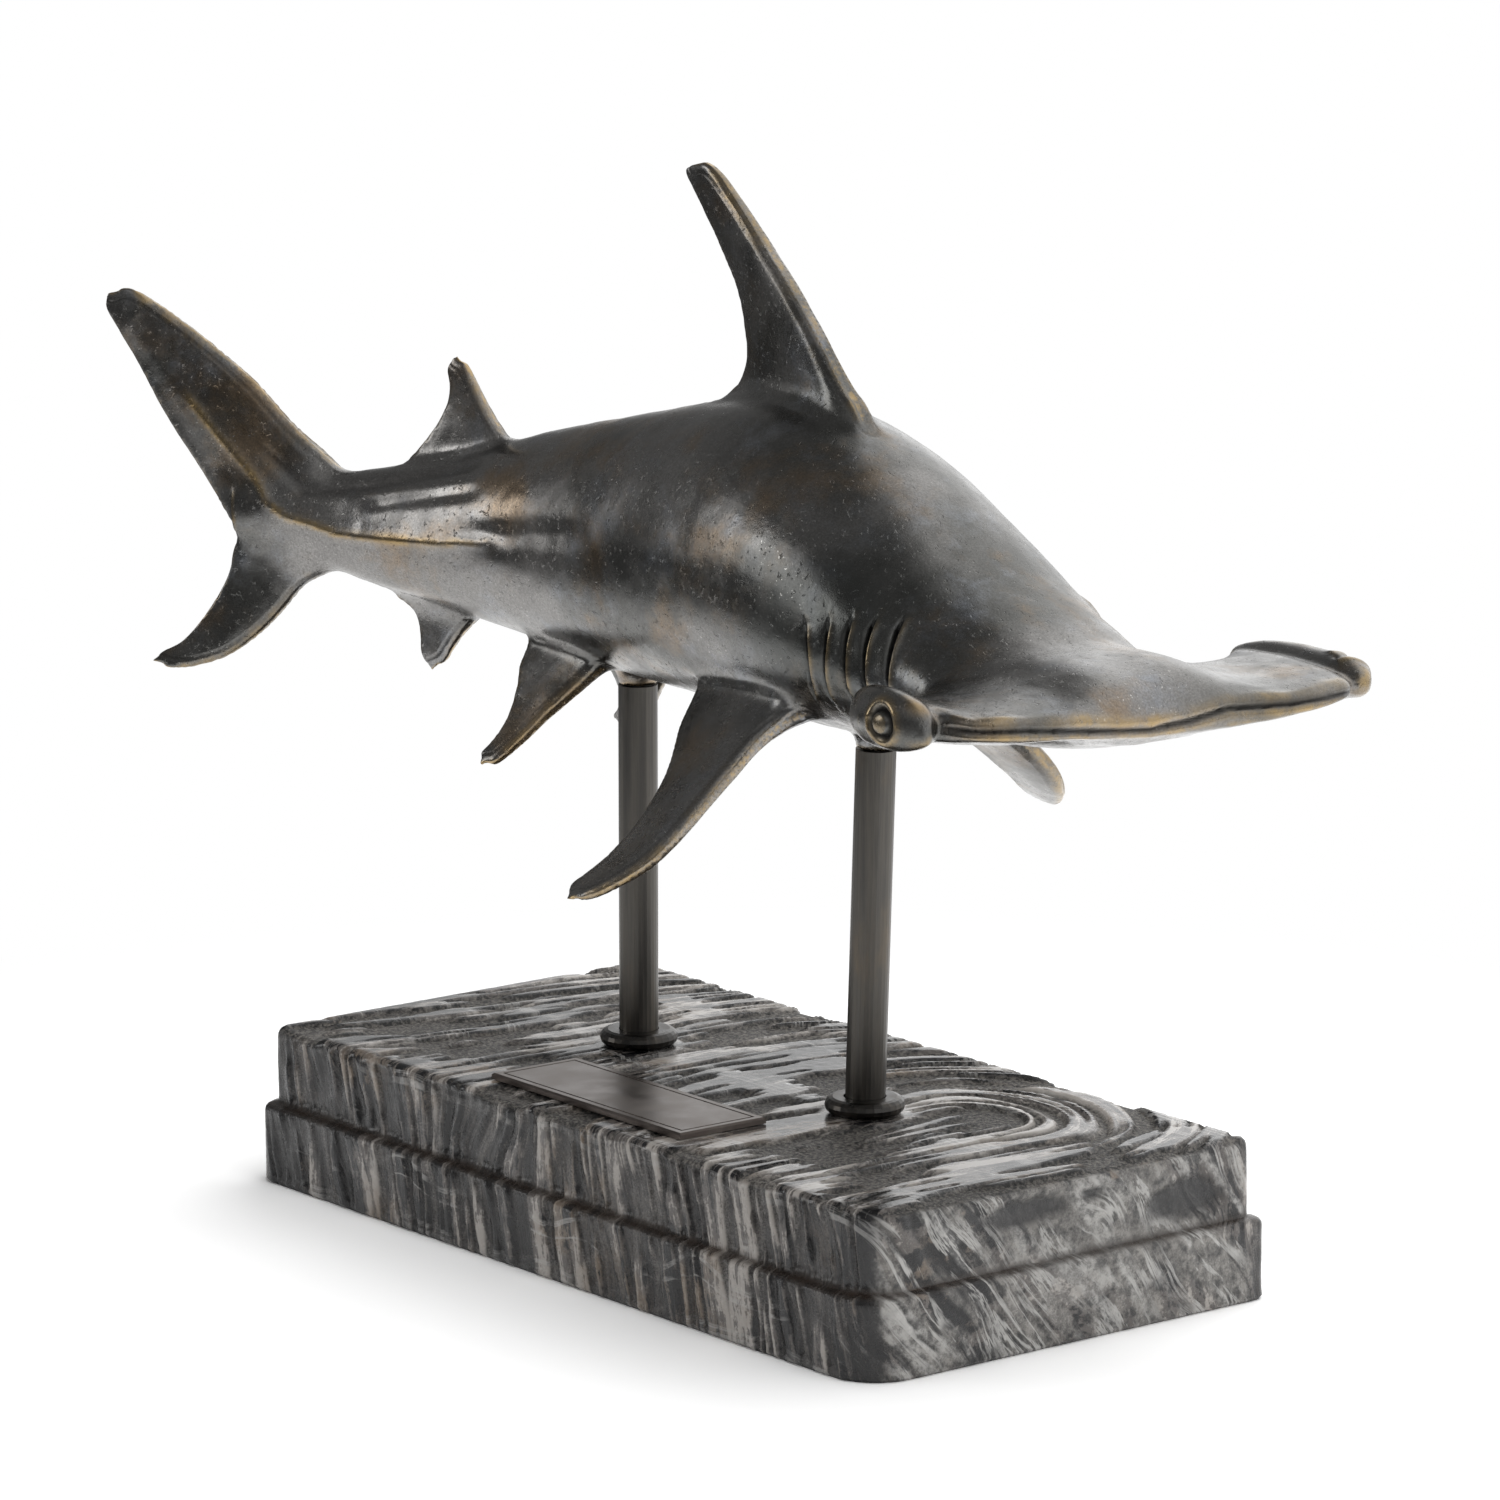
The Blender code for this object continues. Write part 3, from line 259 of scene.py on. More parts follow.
# Gill slits on the flank, rear to front: x and z of the top, the middle and the bottom
GILLS = (
    (95, 270.5, 96.5, 254, 91, 238),
    (107, 273, 107, 259, 103.5, 239),
    (118, 275, 118.5, 260, 119, 243.5),
    (128, 276.5, 129, 263, 131.5, 247),
    (138, 277, 141, 264.5, 143.5, 250),
)
EYES = ((223.0, -105.0, 256.0), (221.5, 107.5, 253.8))
EYE_FACING = 22.0
EYE_RADIUS = 4.2

# Front groove of the hammer: y, x of the front edge, z of the groove
HEAD_GROOVE = (
    (-100, 235.0, 255.4), (-87, 237.0, 254.8), (-78, 246.3, 254.0), (-59, 250.4, 253.1),
    (-28, 250.3, 249.6), (-4, 247.3, 247.0), (12, 249.1, 249.0), (29, 250.7, 252.8), (56, 251.6, 251.9),
    (90, 245.0, 253.0),
)
# Middles of the swellings along the hammer's front lip
LIP_SCALLOPS = (-70.0, -35.0, -4.0, 50.0)
# Lines on the tail's flank, seen from the side: x and z. The keel stands proud; the creases are sunk.
KEEL = (
    (-118, 273.8), (-125, 273.2), (-156, 269.4), (-179, 268.3), (-196, 267.8), (-212, 268.0),
    (-225, 271.1), (-236, 272.7), (-245, 277.9), (-250, 286.0), (-258, 295.0), (-268, 304.9),
    (-278, 316.6), (-286, 325.8),
)
UPPER_CREASE = (
    (-253, 304.3), (-245, 297.2), (-236, 289.4), (-229, 284.0), (-215, 285.2), (-200, 287.1),
    (-179, 291.6), (-159, 296.7), (-138, 302.7),
)
MIDDLE_CREASE = (
    (-204, 279.5), (-190, 281.5), (-178, 284.0), (-150, 289.5), (-134, 292.5),
)
LOWER_CREASE = (
    (-152, 273.5), (-127, 275.8), (-108, 278.0), (-80, 281.5), (-52, 284.0),
)
# The swelling on the flank above the pelvic fins: x and z
FLANK_SWELL = (4.0, 283.0)

# The casting's skin, in millimetres: grid size, then the least half thickness of a fin's rear edge, on the
# finished skin and on the rough forms that it is drawn over, and how much longer the rough fins are
REMESH_SIZE = 1.95
FIN_EDGE = 0.55
ROUGH_EDGE = 1.3
ROUGH_LONGER = 1.7
TIP_REACH = 9.0
# Width of the blend round each form where it leaves the others, and the share of it that moves freely
BODY_BLEND = 14.0
TAIL_BLEND = 12.0
FIN_BLEND = 8.5
SMALL_FIN_BLEND = 6.5
BOSS_BLEND = 3.0
JUNCTION_REACH = 0.62

# Stone, in millimetres: the middle of the nested arches and where they start to close
ARCH_X = 104.0
ARCH_Y = 30.0
# How deep the carving goes: top, long sides, ribs and hollows of the ends
TOP_CARVING = 1.9
SIDE_CARVING = 2.0
END_CARVING = 1.5
HOLLOW_DEPTH = 2.2
# Polished lands on the top of the stone: middle x and y, then half the length and width
LANDS = (
    (-2.0, 43.0, 20.0, 18.0),
    (10.0, 0.0, 40.0, 15.0),
    (70.0, -50.0, 16.0, 42.0),
    (176.0, 66.0, 14.0, 27.0),
    (170.0, -30.0, 8.0, 70.0),
    (-191.0, 0.0, 7.0, 90.0),
    (-120.0, 60.0, 30.0, 12.0),
)
# How pale the stone's bands are along the long side, from black at 0 to grey at 1: x and paleness
UPPER_BANDS = (
    (-200, 0.35), (-185, 0.55), (-160, 0.50), (-130, 0.45), (-100, 0.40), (-70, 0.45), (-40, 0.60),
    (-15, 0.50), (5, 0.75), (50, 0.80), (62, 0.85), (70, 0.30), (95, 0.28), (104, 0.75), (135, 0.65),
    (145, 0.25), (165, 0.45), (180, 0.22), (200, 0.40),
)
LOWER_BANDS = (
    (-200, 0.20), (-178, 0.15), (-172, 0.80), (-156, 0.75), (-151, 0.08), (-138, 0.10), (-132, 0.75),
    (-104, 0.70), (-98, 0.15), (-82, 0.20), (-70, 0.80), (-42, 0.75), (-34, 0.30), (-20, 0.35),
    (-12, 0.75), (20, 0.70), (50, 0.60), (58, 0.12), (64, 0.35), (98, 0.45), (104, 0.75), (130, 0.70),
    (138, 0.20), (170, 0.50), (185, 0.20), (200, 0.35),
)
# Dark hollows in the ends: middle y and z, then half the width and height
END_HOLLOWS = ((-20.0, 53.5, 27.0, 6.0), (16.0, 55.5, 8.0, 2.5), (62.0, 45.0, 22.0, 9.0))

# The studio: directions on the floor to the bright wall and straight behind, then to the soft light in
# front and to the panel on the left
WALL_FACES = (0.4334, 0.9008)
BEHIND = (-0.7804, 0.6252)
FRONT_SOFT_LIGHT = (0.598, -0.479, 0.643)
LEFT_PANEL = (-0.598, -0.746, 0.292)
DARK_WALL = 0.20
LAMP_PLACE = (0.15, 0.15, 1.3)
LAMP_SIZE = 1.1
LAMP_POWER = 11.0

# Plain metals: two shades, the stain's scale, detail and roughness, where the shades part, the metal's
# range of roughness, and the scale and height of its grain
STAINED_METALS = {
    "dark_plaque": (
        ((0.135, 0.115, 0.104), (0.190, 0.166, 0.150)),
        (60.0, 5.0, 0.6), (0.4, 0.7), (0.28, 0.42), 1400.0, 0.00004,
    ),
    "blackened_collar": (
        ((0.050, 0.048, 0.046), (0.095, 0.085, 0.074)),
        (120.0, 5.0, 0.65), (0.45, 0.70), (0.24, 0.40), 900.0, 0.00005,
    ),
    "zinc_steel": (
        ((0.50, 0.50, 0.49), (0.62, 0.62, 0.60)),
        (200.0, 4.0, 0.55), (0.35, 0.65), (0.28, 0.42), 1400.0, 0.0,
    ),
}


def flow(rows, places):
    """Values read at each place along smooth curves through the rows, whose first column is the place."""
    rows = np.asarray(rows, float)
    at = rows[:, 0]
    values = rows[:, 1:]
    places = np.clip(np.asarray(places, float), at[0], at[-1])
    steps = np.diff(at)
    slopes = np.diff(values, axis=0) / steps[:, None]
    tangents = np.zeros_like(values)
    tangents[0] = slopes[0]
    tangents[-1] = slopes[-1]
    for i in range(1, len(at) - 1):
        both = steps[i] + steps[i - 1]
        tangents[i] = (slopes[i - 1] * steps[i] + slopes[i] * steps[i - 1]) / both
    i = np.clip(np.searchsorted(at, places, side="right") - 1, 0, len(at) - 2)
    t = ((places - at[i]) / steps[i])[:, None]
    h = steps[i][:, None]
    start = (2 * t**3 - 3 * t**2 + 1) * values[i] + (t**3 - 2 * t**2 + t) * h * tangents[i]
    end = (3 * t**2 - 2 * t**3) * values[i + 1] + (t**3 - t**2) * h * tangents[i + 1]
    return start + end


def smooth_step(value, low, high):
    t = np.clip((value - low) / (high - low), 0.0, 1.0)
    return t * t * (3 - 2 * t)


def hump(value, middle, width):
    """1 where value is at the middle, falling away smoothly to both sides over about the width."""
    return np.exp(-(((value - middle) / width) ** 2))


def noise(points, size, seed):
    """Smooth value noise from -1 to 1 whose lumps are about size wide."""
    lattice = np.random.default_rng(seed).uniform(-1, 1, (32, 32, 32))
    p = np.asarray(points, float) / size + 100.0
    base = np.floor(p).astype(int)
    f = p - base
    f = f * f * (3 - 2 * f)
    total = np.zeros(len(p))
    for corner in np.ndindex(2, 2, 2):
        weight = np.ones(len(p))
        for axis in range(3):
            weight *= f[:, axis] if corner[axis] else 1 - f[:, axis]
        i, j, k = ((base[:, axis] + corner[axis]) % 32 for axis in range(3))
        total += weight * lattice[i, j, k]
    return total


def fractal(points, size, seed, octaves=3):
    total = np.zeros(len(points))
    for octave in range(octaves):
        total += noise(points, size / 2**octave, seed + octave) / 2**octave
    return total


def centrelines():
    """The two bent ends of the body: sign, start, walked reach, along, aside and heading."""
    reach = np.linspace(0.0, 0.5, 501)

    def tail_turn(s):
        main = TAIL_BEND_ANGLE * np.clip(s / TAIL_BEND_LENGTH, 0, 1)
        return main + TAIL_TIP_ANGLE * np.clip((s - TAIL_BEND_LENGTH) / TAIL_TIP_LENGTH, 0, 1)

    def head_turn(s):
        return HEAD_TURN_ANGLE * np.clip(s / HEAD_TURN_LENGTH, 0, 1)

    lines = []
    for sign, begin, turn in ((-1, TAIL_BEND_START, tail_turn), (1, HEAD_TURN_START, head_turn)):
        heading = np.radians(turn(reach))
        middle = (heading[1:] + heading[:-1]) / 2
        step = np.diff(reach)
        along = np.r_[0.0, np.cumsum(np.cos(middle) * step)]
        aside = np.r_[0.0, np.cumsum(-np.sin(middle) * step)]
        lines.append((sign, begin, reach, along, aside, heading))
    return lines


def pose(points):
    """Straight, symmetric points in metres put into the swimming pose."""
    points = np.array(points, float)
    x = points[:, 0].copy()
    y = points[:, 1].copy()
    for sign, begin, reach, along, aside, heading in centrelines():
        chosen = (x - begin) * sign > 0
        s = (x[chosen] - begin) * sign
        angle = np.interp(s, reach, heading)
        points[chosen, 0] = begin + sign * np.interp(s, reach, along) + sign * np.sin(angle) * y[chosen]
        points[chosen, 1] = np.interp(s, reach, aside) + np.cos(angle) * y[chosen]
    return points + SHARK_SHIFT


def straighten(points):
    """The straight-shark place, in millimetres, of posed points in metres."""
    points = np.array(points, float) - SHARK_SHIFT
    result = points.copy()
    for sign, begin, reach, along, aside, heading in centrelines():
        centre_x = begin + sign * along
        across_x = sign * np.sin(heading)
        across_y = np.cos(heading)
        chosen = np.nonzero((points[:, 0] - begin) * sign > -0.02)[0]
        for part in np.array_split(chosen, max(1, len(chosen) // 4000)):
            dx = points[part, 0][:, None] - centre_x
            dy = points[part, 1][:, None] - aside
            forward = sign * (dx * across_y - dy * across_x)
            nearest = np.abs(forward).argmin(axis=1)
            row = np.arange(len(part))
            s = reach[nearest] + forward[row, nearest]
            side = dx[row, nearest] * across_x[nearest] + dy[row, nearest] * across_y[nearest]
            kept = s > 0
            result[part[kept], 0] = begin + sign * s[kept]
            result[part[kept], 1] = side[kept]
    return result / MM


def circle(count):
    """Cosines and sines of evenly spaced turns."""
    turn = np.linspace(0, 2 * np.pi, count, endpoint=False)
    return np.cos(turn), np.sin(turn)


def bowed(value, power):
    return np.sign(value) * np.abs(value) ** power


def body_rings(stations=150, around=96):
    rings = []
    up, side = circle(around)
    places = np.linspace(BODY[0][0], BODY[-1][0], stations)
    for x, (top, bottom, half, share, power) in zip(places, flow(BODY, places)):
        widest = bottom + (top - bottom) * share
        exponent = 2 / np.where(up >= 0, 2.0, power)
        z = widest + bowed(up, exponent) * np.where(up >= 0, top - widest, widest - bottom)
        y = bowed(side, exponent) * half
        rings.append(np.c_[np.full(around, x), y, z])
    return np.array(rings) * MM


def head_rings(stations=221, around=72):
    rows = np.array(HEAD, float)
    right_lobe = rows[HEAD_LOBE_ROWS, 0]
    left_lobe = rows[-1 - HEAD_LOBE_ROWS, 0]
    knots = (0.0, 0.24, 0.5, 0.76, 1.0)
    ends = (rows[0, 0], right_lobe, 0.0, left_lobe, rows[-1, 0])
    places = np.interp(np.linspace(0, 1, stations), knots, ends)
    up, front = circle(around)
    power_x = np.where(front > 0, HEAD_FRONT_ROUNDING[0], HEAD_REAR_ROUNDING[0])
    power_z = np.where(front > 0, HEAD_FRONT_ROUNDING[1], HEAD_REAR_ROUNDING[1])
    rings = []
    for y, (rear_x, front_x, middle, above, below) in zip(places, flow(rows, places)):
        x = (rear_x + front_x) / 2 + bowed(front, power_x) * (front_x - rear_x) / 2
        z = middle + bowed(up, power_z) * np.where(up > 0, above, below)
        rings.append(np.c_[x, np.full(around, y), z])
    return np.array(rings) * MM


def fine_section():
    """The fin's section with more points along its smooth sides."""
    rows = np.array(FIN_SECTION)
    chord = np.r_[rows[0, 0], rows[1, 0], np.linspace(0.012, 0.97, 25), 0.985, 0.995, 1.0]
    sides = flow(rows[1:], chord[1:])[:, 0]
    return np.c_[chord, np.r_[0.0, sides]]


def edged(section, thickness, length, least):
    """Half thicknesses along the section, rounded off at the rear edge and nowhere thinner than least."""
    half = section[:, 1] * thickness
    nearest_end = np.minimum(section[:, 0], 1 - section[:, 0]) * length
    share = np.clip(nearest_end / least, 0, 1)
    rim = least * np.sqrt(1 - (1 - share) ** 2)
    rim[0] = 0.0
    return np.maximum(half, rim)


def fin_rings(rows, stations, root=None, drop=0.0, side=0, least=FIN_EDGE, longer=0.0):
    """Sections of a fin. An upright fin gives no root; a paired fin gives its root, drop and side."""
    rows = np.asarray(rows, float)
    places = 1 - (1 - np.linspace(0, 1, stations)) ** 1.15
    values = flow(np.c_[np.linspace(0, 1, len(rows)), rows], places)
    section = fine_section()
    rings = []
    for row in values:
        if root is None:
            front = np.array([row[0], 0.0, row[1]])
            rear = np.array([row[2], 0.0, row[3]])
            across = np.array([0.0, 1.0, 0.0])
        else:
            reach = np.array([0.0, 1.0, -drop]) / math.hypot(1.0, drop)
            across = np.array([0.0, drop, 1.0]) / math.hypot(1.0, drop)
            origin = np.array(root)
            front = origin + [row[0], 0, 0] + reach * row[1] + across * row[2]
            rear = origin + [row[3], 0, 0] + reach * row[4] + across * row[5]
        thickness = row[-1]
        chord = rear - front
        length = np.linalg.norm(chord)
        if length < 2.0:
            heading = rings[-1][len(section) - 1] - rings[-1][0]
            chord = heading / np.linalg.norm(heading) * (1, side or 1, 1) * 2.0
            front = (front + rear - chord) / 2
            length = 2.0
        rearward = smooth_step(section[:, :1], 0.45, 0.95) - 0.6 * smooth_step(section[:, :1], 0.30, 0.0)
        stretch = chord / length * longer * rearward
        middle = front + chord * section[:, :1] + stretch
        offset = across * edged(section, thickness, length, least)[:, None]
        ring = np.r_[middle + offset, (middle - offset)[1:-1][::-1]]
        if side < 0:
            ring = ring * [1, -1, 1]
        rings.append(ring * MM)
    if longer:
        onward = rings[-1].mean(axis=0) - rings[-4].mean(axis=0)
        rings.append(rings[-1] + onward / np.linalg.norm(onward) * 0.8 * longer * MM)
    return np.array(rings)


def core_rings(stations=40, around=24):
    rows = np.array(TAIL_CORE, float)
    values = flow(np.c_[np.linspace(0, 1, len(rows)), rows], np.linspace(0, 1, stations))
    path = values[:, :2]
    upward, sideways = circle(around)
    rings = []
    for i, (x, z, high, wide) in enumerate(values):
        ahead = path[min(i + 1, len(path) - 1)] - path[max(i - 1, 0)]
        ahead = ahead / np.linalg.norm(ahead)
        up = np.array([-ahead[1], ahead[0]])
        if up[1] < 0:
            up = -up
        a = upward * high
        rings.append(np.c_[x + up[0] * a, sideways * wide, z + up[1] * a])
    return np.array(rings) * MM


def turned_rings(profile, segments):
    x, y = circle(segments)
    return np.array([np.c_[r * x, r * y, np.full(segments, z)] for r, z in profile])


def boss_rings(number):
    """The flared weld around a post's top, along the post's own axis."""
    top = POST_LENGTH[number] + GAP
    radius = POST_DIAMETER / 2
    profile = [(radius + BOSS_SPREAD * t**2.2, top + BOSS_HEIGHT * t) for t in np.linspace(0, 1, 12)]
    profile.append((radius * 0.7, top + BOSS_HEIGHT + 0.008))
    rings = turned_rings(profile, 48)
    lean = math.radians(POST_LEAN[number])
    x = rings[..., 0] * math.cos(lean) + rings[..., 2] * math.sin(lean)
    z = rings[..., 2] * math.cos(lean) - rings[..., 0] * math.sin(lean)
    return np.stack([x + POST_X[number], rings[..., 1] + POST_Y, z + BASE_HEIGHT], axis=-1)


def loft_faces(stations, around):
    faces = []
    for i in range(stations - 1):
        for j in range(around):
            k = (j + 1) % around
            faces.append((i * around + j, i * around + k, (i + 1) * around + k, (i + 1) * around + j))
    faces.append(tuple(range(around))[::-1])
    faces.append(tuple((stations - 1) * around + j for j in range(around)))
    return faces


def put_in_scene(name, data):
    thing = bpy.data.objects.new(name, data)
    bpy.context.scene.collection.objects.link(thing)
    return thing


def mesh_from(name, points, faces):
    mesh = bpy.data.meshes.new(name)
    mesh.from_pydata([tuple(map(float, p)) for p in points], [], faces)
    mesh.validate()
    return put_in_scene(name, mesh)


def evaluated_copy(thing, name):
    """A new object holding thing's mesh with its modifiers applied; thing is removed."""
    graph = bpy.context.evaluated_depsgraph_get()
    mesh = bpy.data.meshes.new_from_object(thing.evaluated_get(graph))
    bpy.data.objects.remove(thing)
    return put_in_scene(name, mesh)


def rows_of(elements, name, width, kind=float):
    """One property of all the vertices or edges, a row for each."""
    values = np.empty(len(elements) * width, kind)
    elements.foreach_get(name, values)
    return values.reshape(-1, width)


def points_of(thing):
    return rows_of(thing.data.vertices, "co", 3)


def normals_of(thing):
    return rows_of(thing.data.vertices, "normal", 3)


def edges_of(thing):
    return rows_of(thing.data.edges, "vertices", 2, int)


def set_points(thing, points):
    thing.data.vertices.foreach_set("co", points.ravel())
    thing.data.update()


def neighbour_mean(values, edges):
    total = np.zeros_like(values)
    count = np.bincount(edges.ravel(), minlength=len(values)).astype(float)
    for a, b in ((0, 1), (1, 0)):
        for axis in range(values.shape[1]):
            total[:, axis] += np.bincount(edges[:, a], values[edges[:, b], axis], len(values))
    return total / np.maximum(count, 1)[:, None]


def add_attribute(thing, name, values):
    attribute = thing.data.attributes.new(name, "FLOAT", "POINT")
    attribute.data.foreach_set("value", np.asarray(values, np.float32))


def shade_smooth(thing):
    thing.data.polygons.foreach_set("use_smooth", np.ones(len(thing.data.polygons), bool))


def casting_forms(least, longer):
    """Every form of the casting as posed rings, how widely each is blended, and the fins' front edges."""
    forms = [pose_rings(body_rings()), pose_rings(head_rings()), pose_rings(core_rings())]
    blends = [BODY_BLEND, BODY_BLEND, TAIL_BLEND]
    edges = []
    uprights = (
        (FIRST_DORSAL, 70, FIN_BLEND),
        (SECOND_DORSAL, 40, SMALL_FIN_BLEND),
        (ANAL_FIN, 36, SMALL_FIN_BLEND),
        (UPPER_TAIL, 60, TAIL_BLEND),
        (LOWER_TAIL, 50, TAIL_BLEND),
    )
    fins = []
    for rows, stations, blend in uprights:
        fins.append((fin_rings(rows, stations, least=least, longer=longer), blend))
    for side, row in ((-1, 0), (1, 1)):
        pectoral = fin_rings(PECTORAL, 70, PECTORAL_ROOT[row], PECTORAL_DROP[row], side, least, longer)
        pelvic = fin_rings(PELVIC, 44, PELVIC_ROOT[row], PELVIC_DROP[row], side, least, longer)
        fins += [(pectoral, FIN_BLEND), (pelvic, SMALL_FIN_BLEND)]
    for fin, blend in fins:
        rings = pose_rings(fin)
        forms.append(rings)
        blends.append(blend)
        edges.append(rings[:, 0])
    forms += [boss_rings(0), boss_rings(1)]
    blends += [BOSS_BLEND, BOSS_BLEND]
    return forms, blends, edges


def pose_rings(rings):
    return pose(rings.reshape(-1, 3)).reshape(rings.shape)


def gill_curve(row, count=60):
    x0, z0, x1, z1, x2, z2 = row
    t = np.linspace(0, 1, count)
    x = 2 * (t - 0.5) * (t - 1) * x0 - 4 * t * (t - 1) * x1 + 2 * t * (t - 0.5) * x2
    z = 2 * (t - 0.5) * (t - 1) * z0 - 4 * t * (t - 1) * z1 + 2 * t * (t - 0.5) * z2
    return np.c_[x, z]


def curve_distance(points, curve):
    """Distance to a 2-D curve, the side it lies on and how far along the curve, from 0 to 1."""
    best = np.full(len(points), 1e9)
    side = np.zeros(len(points))
    along = np.zeros(len(points))
    lengths = np.linalg.norm(np.diff(curve, axis=0), axis=1)
    walked = np.r_[0.0, np.cumsum(lengths)]
    for i, (a, b) in enumerate(zip(curve[:-1], curve[1:])):
        d = b - a
        t = np.clip(((points - a) @ d) / (d @ d), 0, 1)
        off = points - (a + t[:, None] * d)
        away = np.linalg.norm(off, axis=1)
        nearer = away < best
        best[nearer] = away[nearer]
        side[nearer] = np.sign(d[0] * off[nearer, 1] - d[1] * off[nearer, 0])
        along[nearer] = (walked[i] + t[nearer] * lengths[i]) / walked[-1]
    return best, side, along


def refine(thing, wanted):
    """Splits the faces whose middle answers to wanted."""
    work = bmesh.new()
    work.from_mesh(thing.data)
    middles = np.array([face.calc_center_median() for face in work.faces])
    chosen = wanted(middles)
    work.faces.ensure_lookup_table()
    edges = {edge for index in np.nonzero(chosen)[0] for edge in work.faces[index].edges}
    bmesh.ops.subdivide_edges(work, edges=list(edges), cuts=1, use_grid_fill=True)
    bmesh.ops.triangulate(work, faces=[f for f in work.faces if len(f.verts) > 4])
    work.to_mesh(thing.data)
    work.free()


def outward_faces(points, faces):
    """The faces, turned round where they face into their form."""
    volume = 0.0
    for face in faces:
        corner = points[face[0]]
        for b, c in zip(face[1:-1], face[2:]):
            volume += float(np.dot(corner, np.cross(points[b], points[c])))
    return faces if volume > 0 else [face[::-1] for face in faces]


def fused_casting():
    """One skin over all the forms, finer at the slits and eyes, and blended where forms meet."""
    rough_forms = casting_forms(ROUGH_EDGE, ROUGH_LONGER)[0]
    points = []
    faces = []
    for rings in rough_forms:
        flat = rings.reshape(-1, 3)
        form_faces = outward_faces(flat, loft_faces(rings.shape[0], rings.shape[1]))
        faces += [tuple(i + len(points) for i in face) for face in form_faces]
        points += [tuple(p) for p in flat]
    rough = mesh_from("rough", points, faces)
    remesh = rough.modifiers.new("remesh", "REMESH")
    remesh.mode = "VOXEL"
    remesh.voxel_size = REMESH_SIZE * MM
    shark = evaluated_copy(rough, "bronze_shark")
    refine(shark, lambda middles: fine_zone(middles, 5.0, True))
    refine(shark, lambda middles: fine_zone(middles, 2.5, False))
    forms, blends, fin_edges = casting_forms(FIN_EDGE, 0.0)
    tips = np.array([edge[-1] for edge in fin_edges])
    refine(shark, lambda middles: tip_distance(middles, tips) < TIP_REACH)
    settle(shark, forms, blends)
    round_tips(shark, tips)
    return shark, np.concatenate(fin_edges)


def fine_zone(middles, reach, wide):
    """True near a gill slit or an eye and, where wide is set, near the mouth and the hammer's groove."""
    straight = straighten(middles)
    x, y, z = straight.T
    found = np.zeros(len(x), bool)
    side = (np.abs(y) > 20) & (x > 80) & (x < 155)
    for row in GILLS:
        away = curve_distance(straight[side][:, [0, 2]], gill_curve(row, 16))[0]
        found[np.nonzero(side)[0][away < reach]] = True
    found |= eye_distance(straight) < reach + 6.0
    if wide:
        found |= (mouth_distance(straight)[0] < reach * 0.5) & (z < 246)
        rise, ahead = groove_place(straight)
        found |= (np.abs(rise) < 3.5) & (ahead > -4.0)
    return found


def eye_distance(straight):
    """Distance from the nearer eye's axis."""
    x, y, z = straight.T
    facing = math.radians(EYE_FACING)
    outward = (math.sin(facing), math.cos(facing))
    left = y > 0
    dx = x - np.where(left, EYES[1][0], EYES[0][0])
    dy = np.abs(y) - np.where(left, EYES[1][1], -EYES[0][1])
    dz = z - np.where(left, EYES[1][2], EYES[0][2])
    across = dx * outward[1] - dy * outward[0]
    depth = dx * outward[0] + dy * outward[1]
    radius = np.hypot(across, dz)
    return np.where(depth > -9, radius, 99.0)


def mouth_distance(straight):
    x, y, z = straight.T
    line = 204.0 - 26.0 * (y / 33.0) ** 2
    end = np.maximum(0.0, np.abs(y) - 33.0)
    away = np.hypot((x - line) / np.hypot(1.0, 52.0 * y / 33.0**2), end)
    return np.where(z < 246, away, 99.0), end


def groove_place(straight):
    """Height above the hammer's front groove, and how far ahead of its front edge, for points near it."""
    x, y, z = straight.T
    rows = np.array(HEAD_GROOVE)
    inside = (y > rows[0, 0]) & (y < rows[-1, 0]) & (x > 225)
    rise = np.where(inside, z - np.interp(y, rows[:, 0], rows[:, 2]), 99.0)
    return rise, np.where(inside, x - np.interp(y, rows[:, 0], rows[:, 1]), -99.0)


def nearest_forms(points, forms, reach):
    """For each form, the distance, nearest place and outward direction of every point within reach."""
    away = np.full((len(forms), len(points)), 1e3)
    places = np.zeros((len(forms), len(points), 3))
    facing = np.zeros((len(forms), len(points), 3))
    for number, rings in enumerate(forms):
        flat = rings.reshape(-1, 3)
        faces = outward_faces(flat, loft_faces(rings.shape[0], rings.shape[1]))
        tree = BVHTree.FromPolygons([tuple(p) for p in flat], faces)
        near = ((points > flat.min(axis=0) - reach) & (points < flat.max(axis=0) + reach)).all(axis=1)
        for i in np.nonzero(near)[0]:
            place, normal, _, distance = tree.find_nearest(points[i], reach)
            if place is not None:
                away[number, i] = distance
                places[number, i] = place
                facing[number, i] = normal
    return away, places, facing


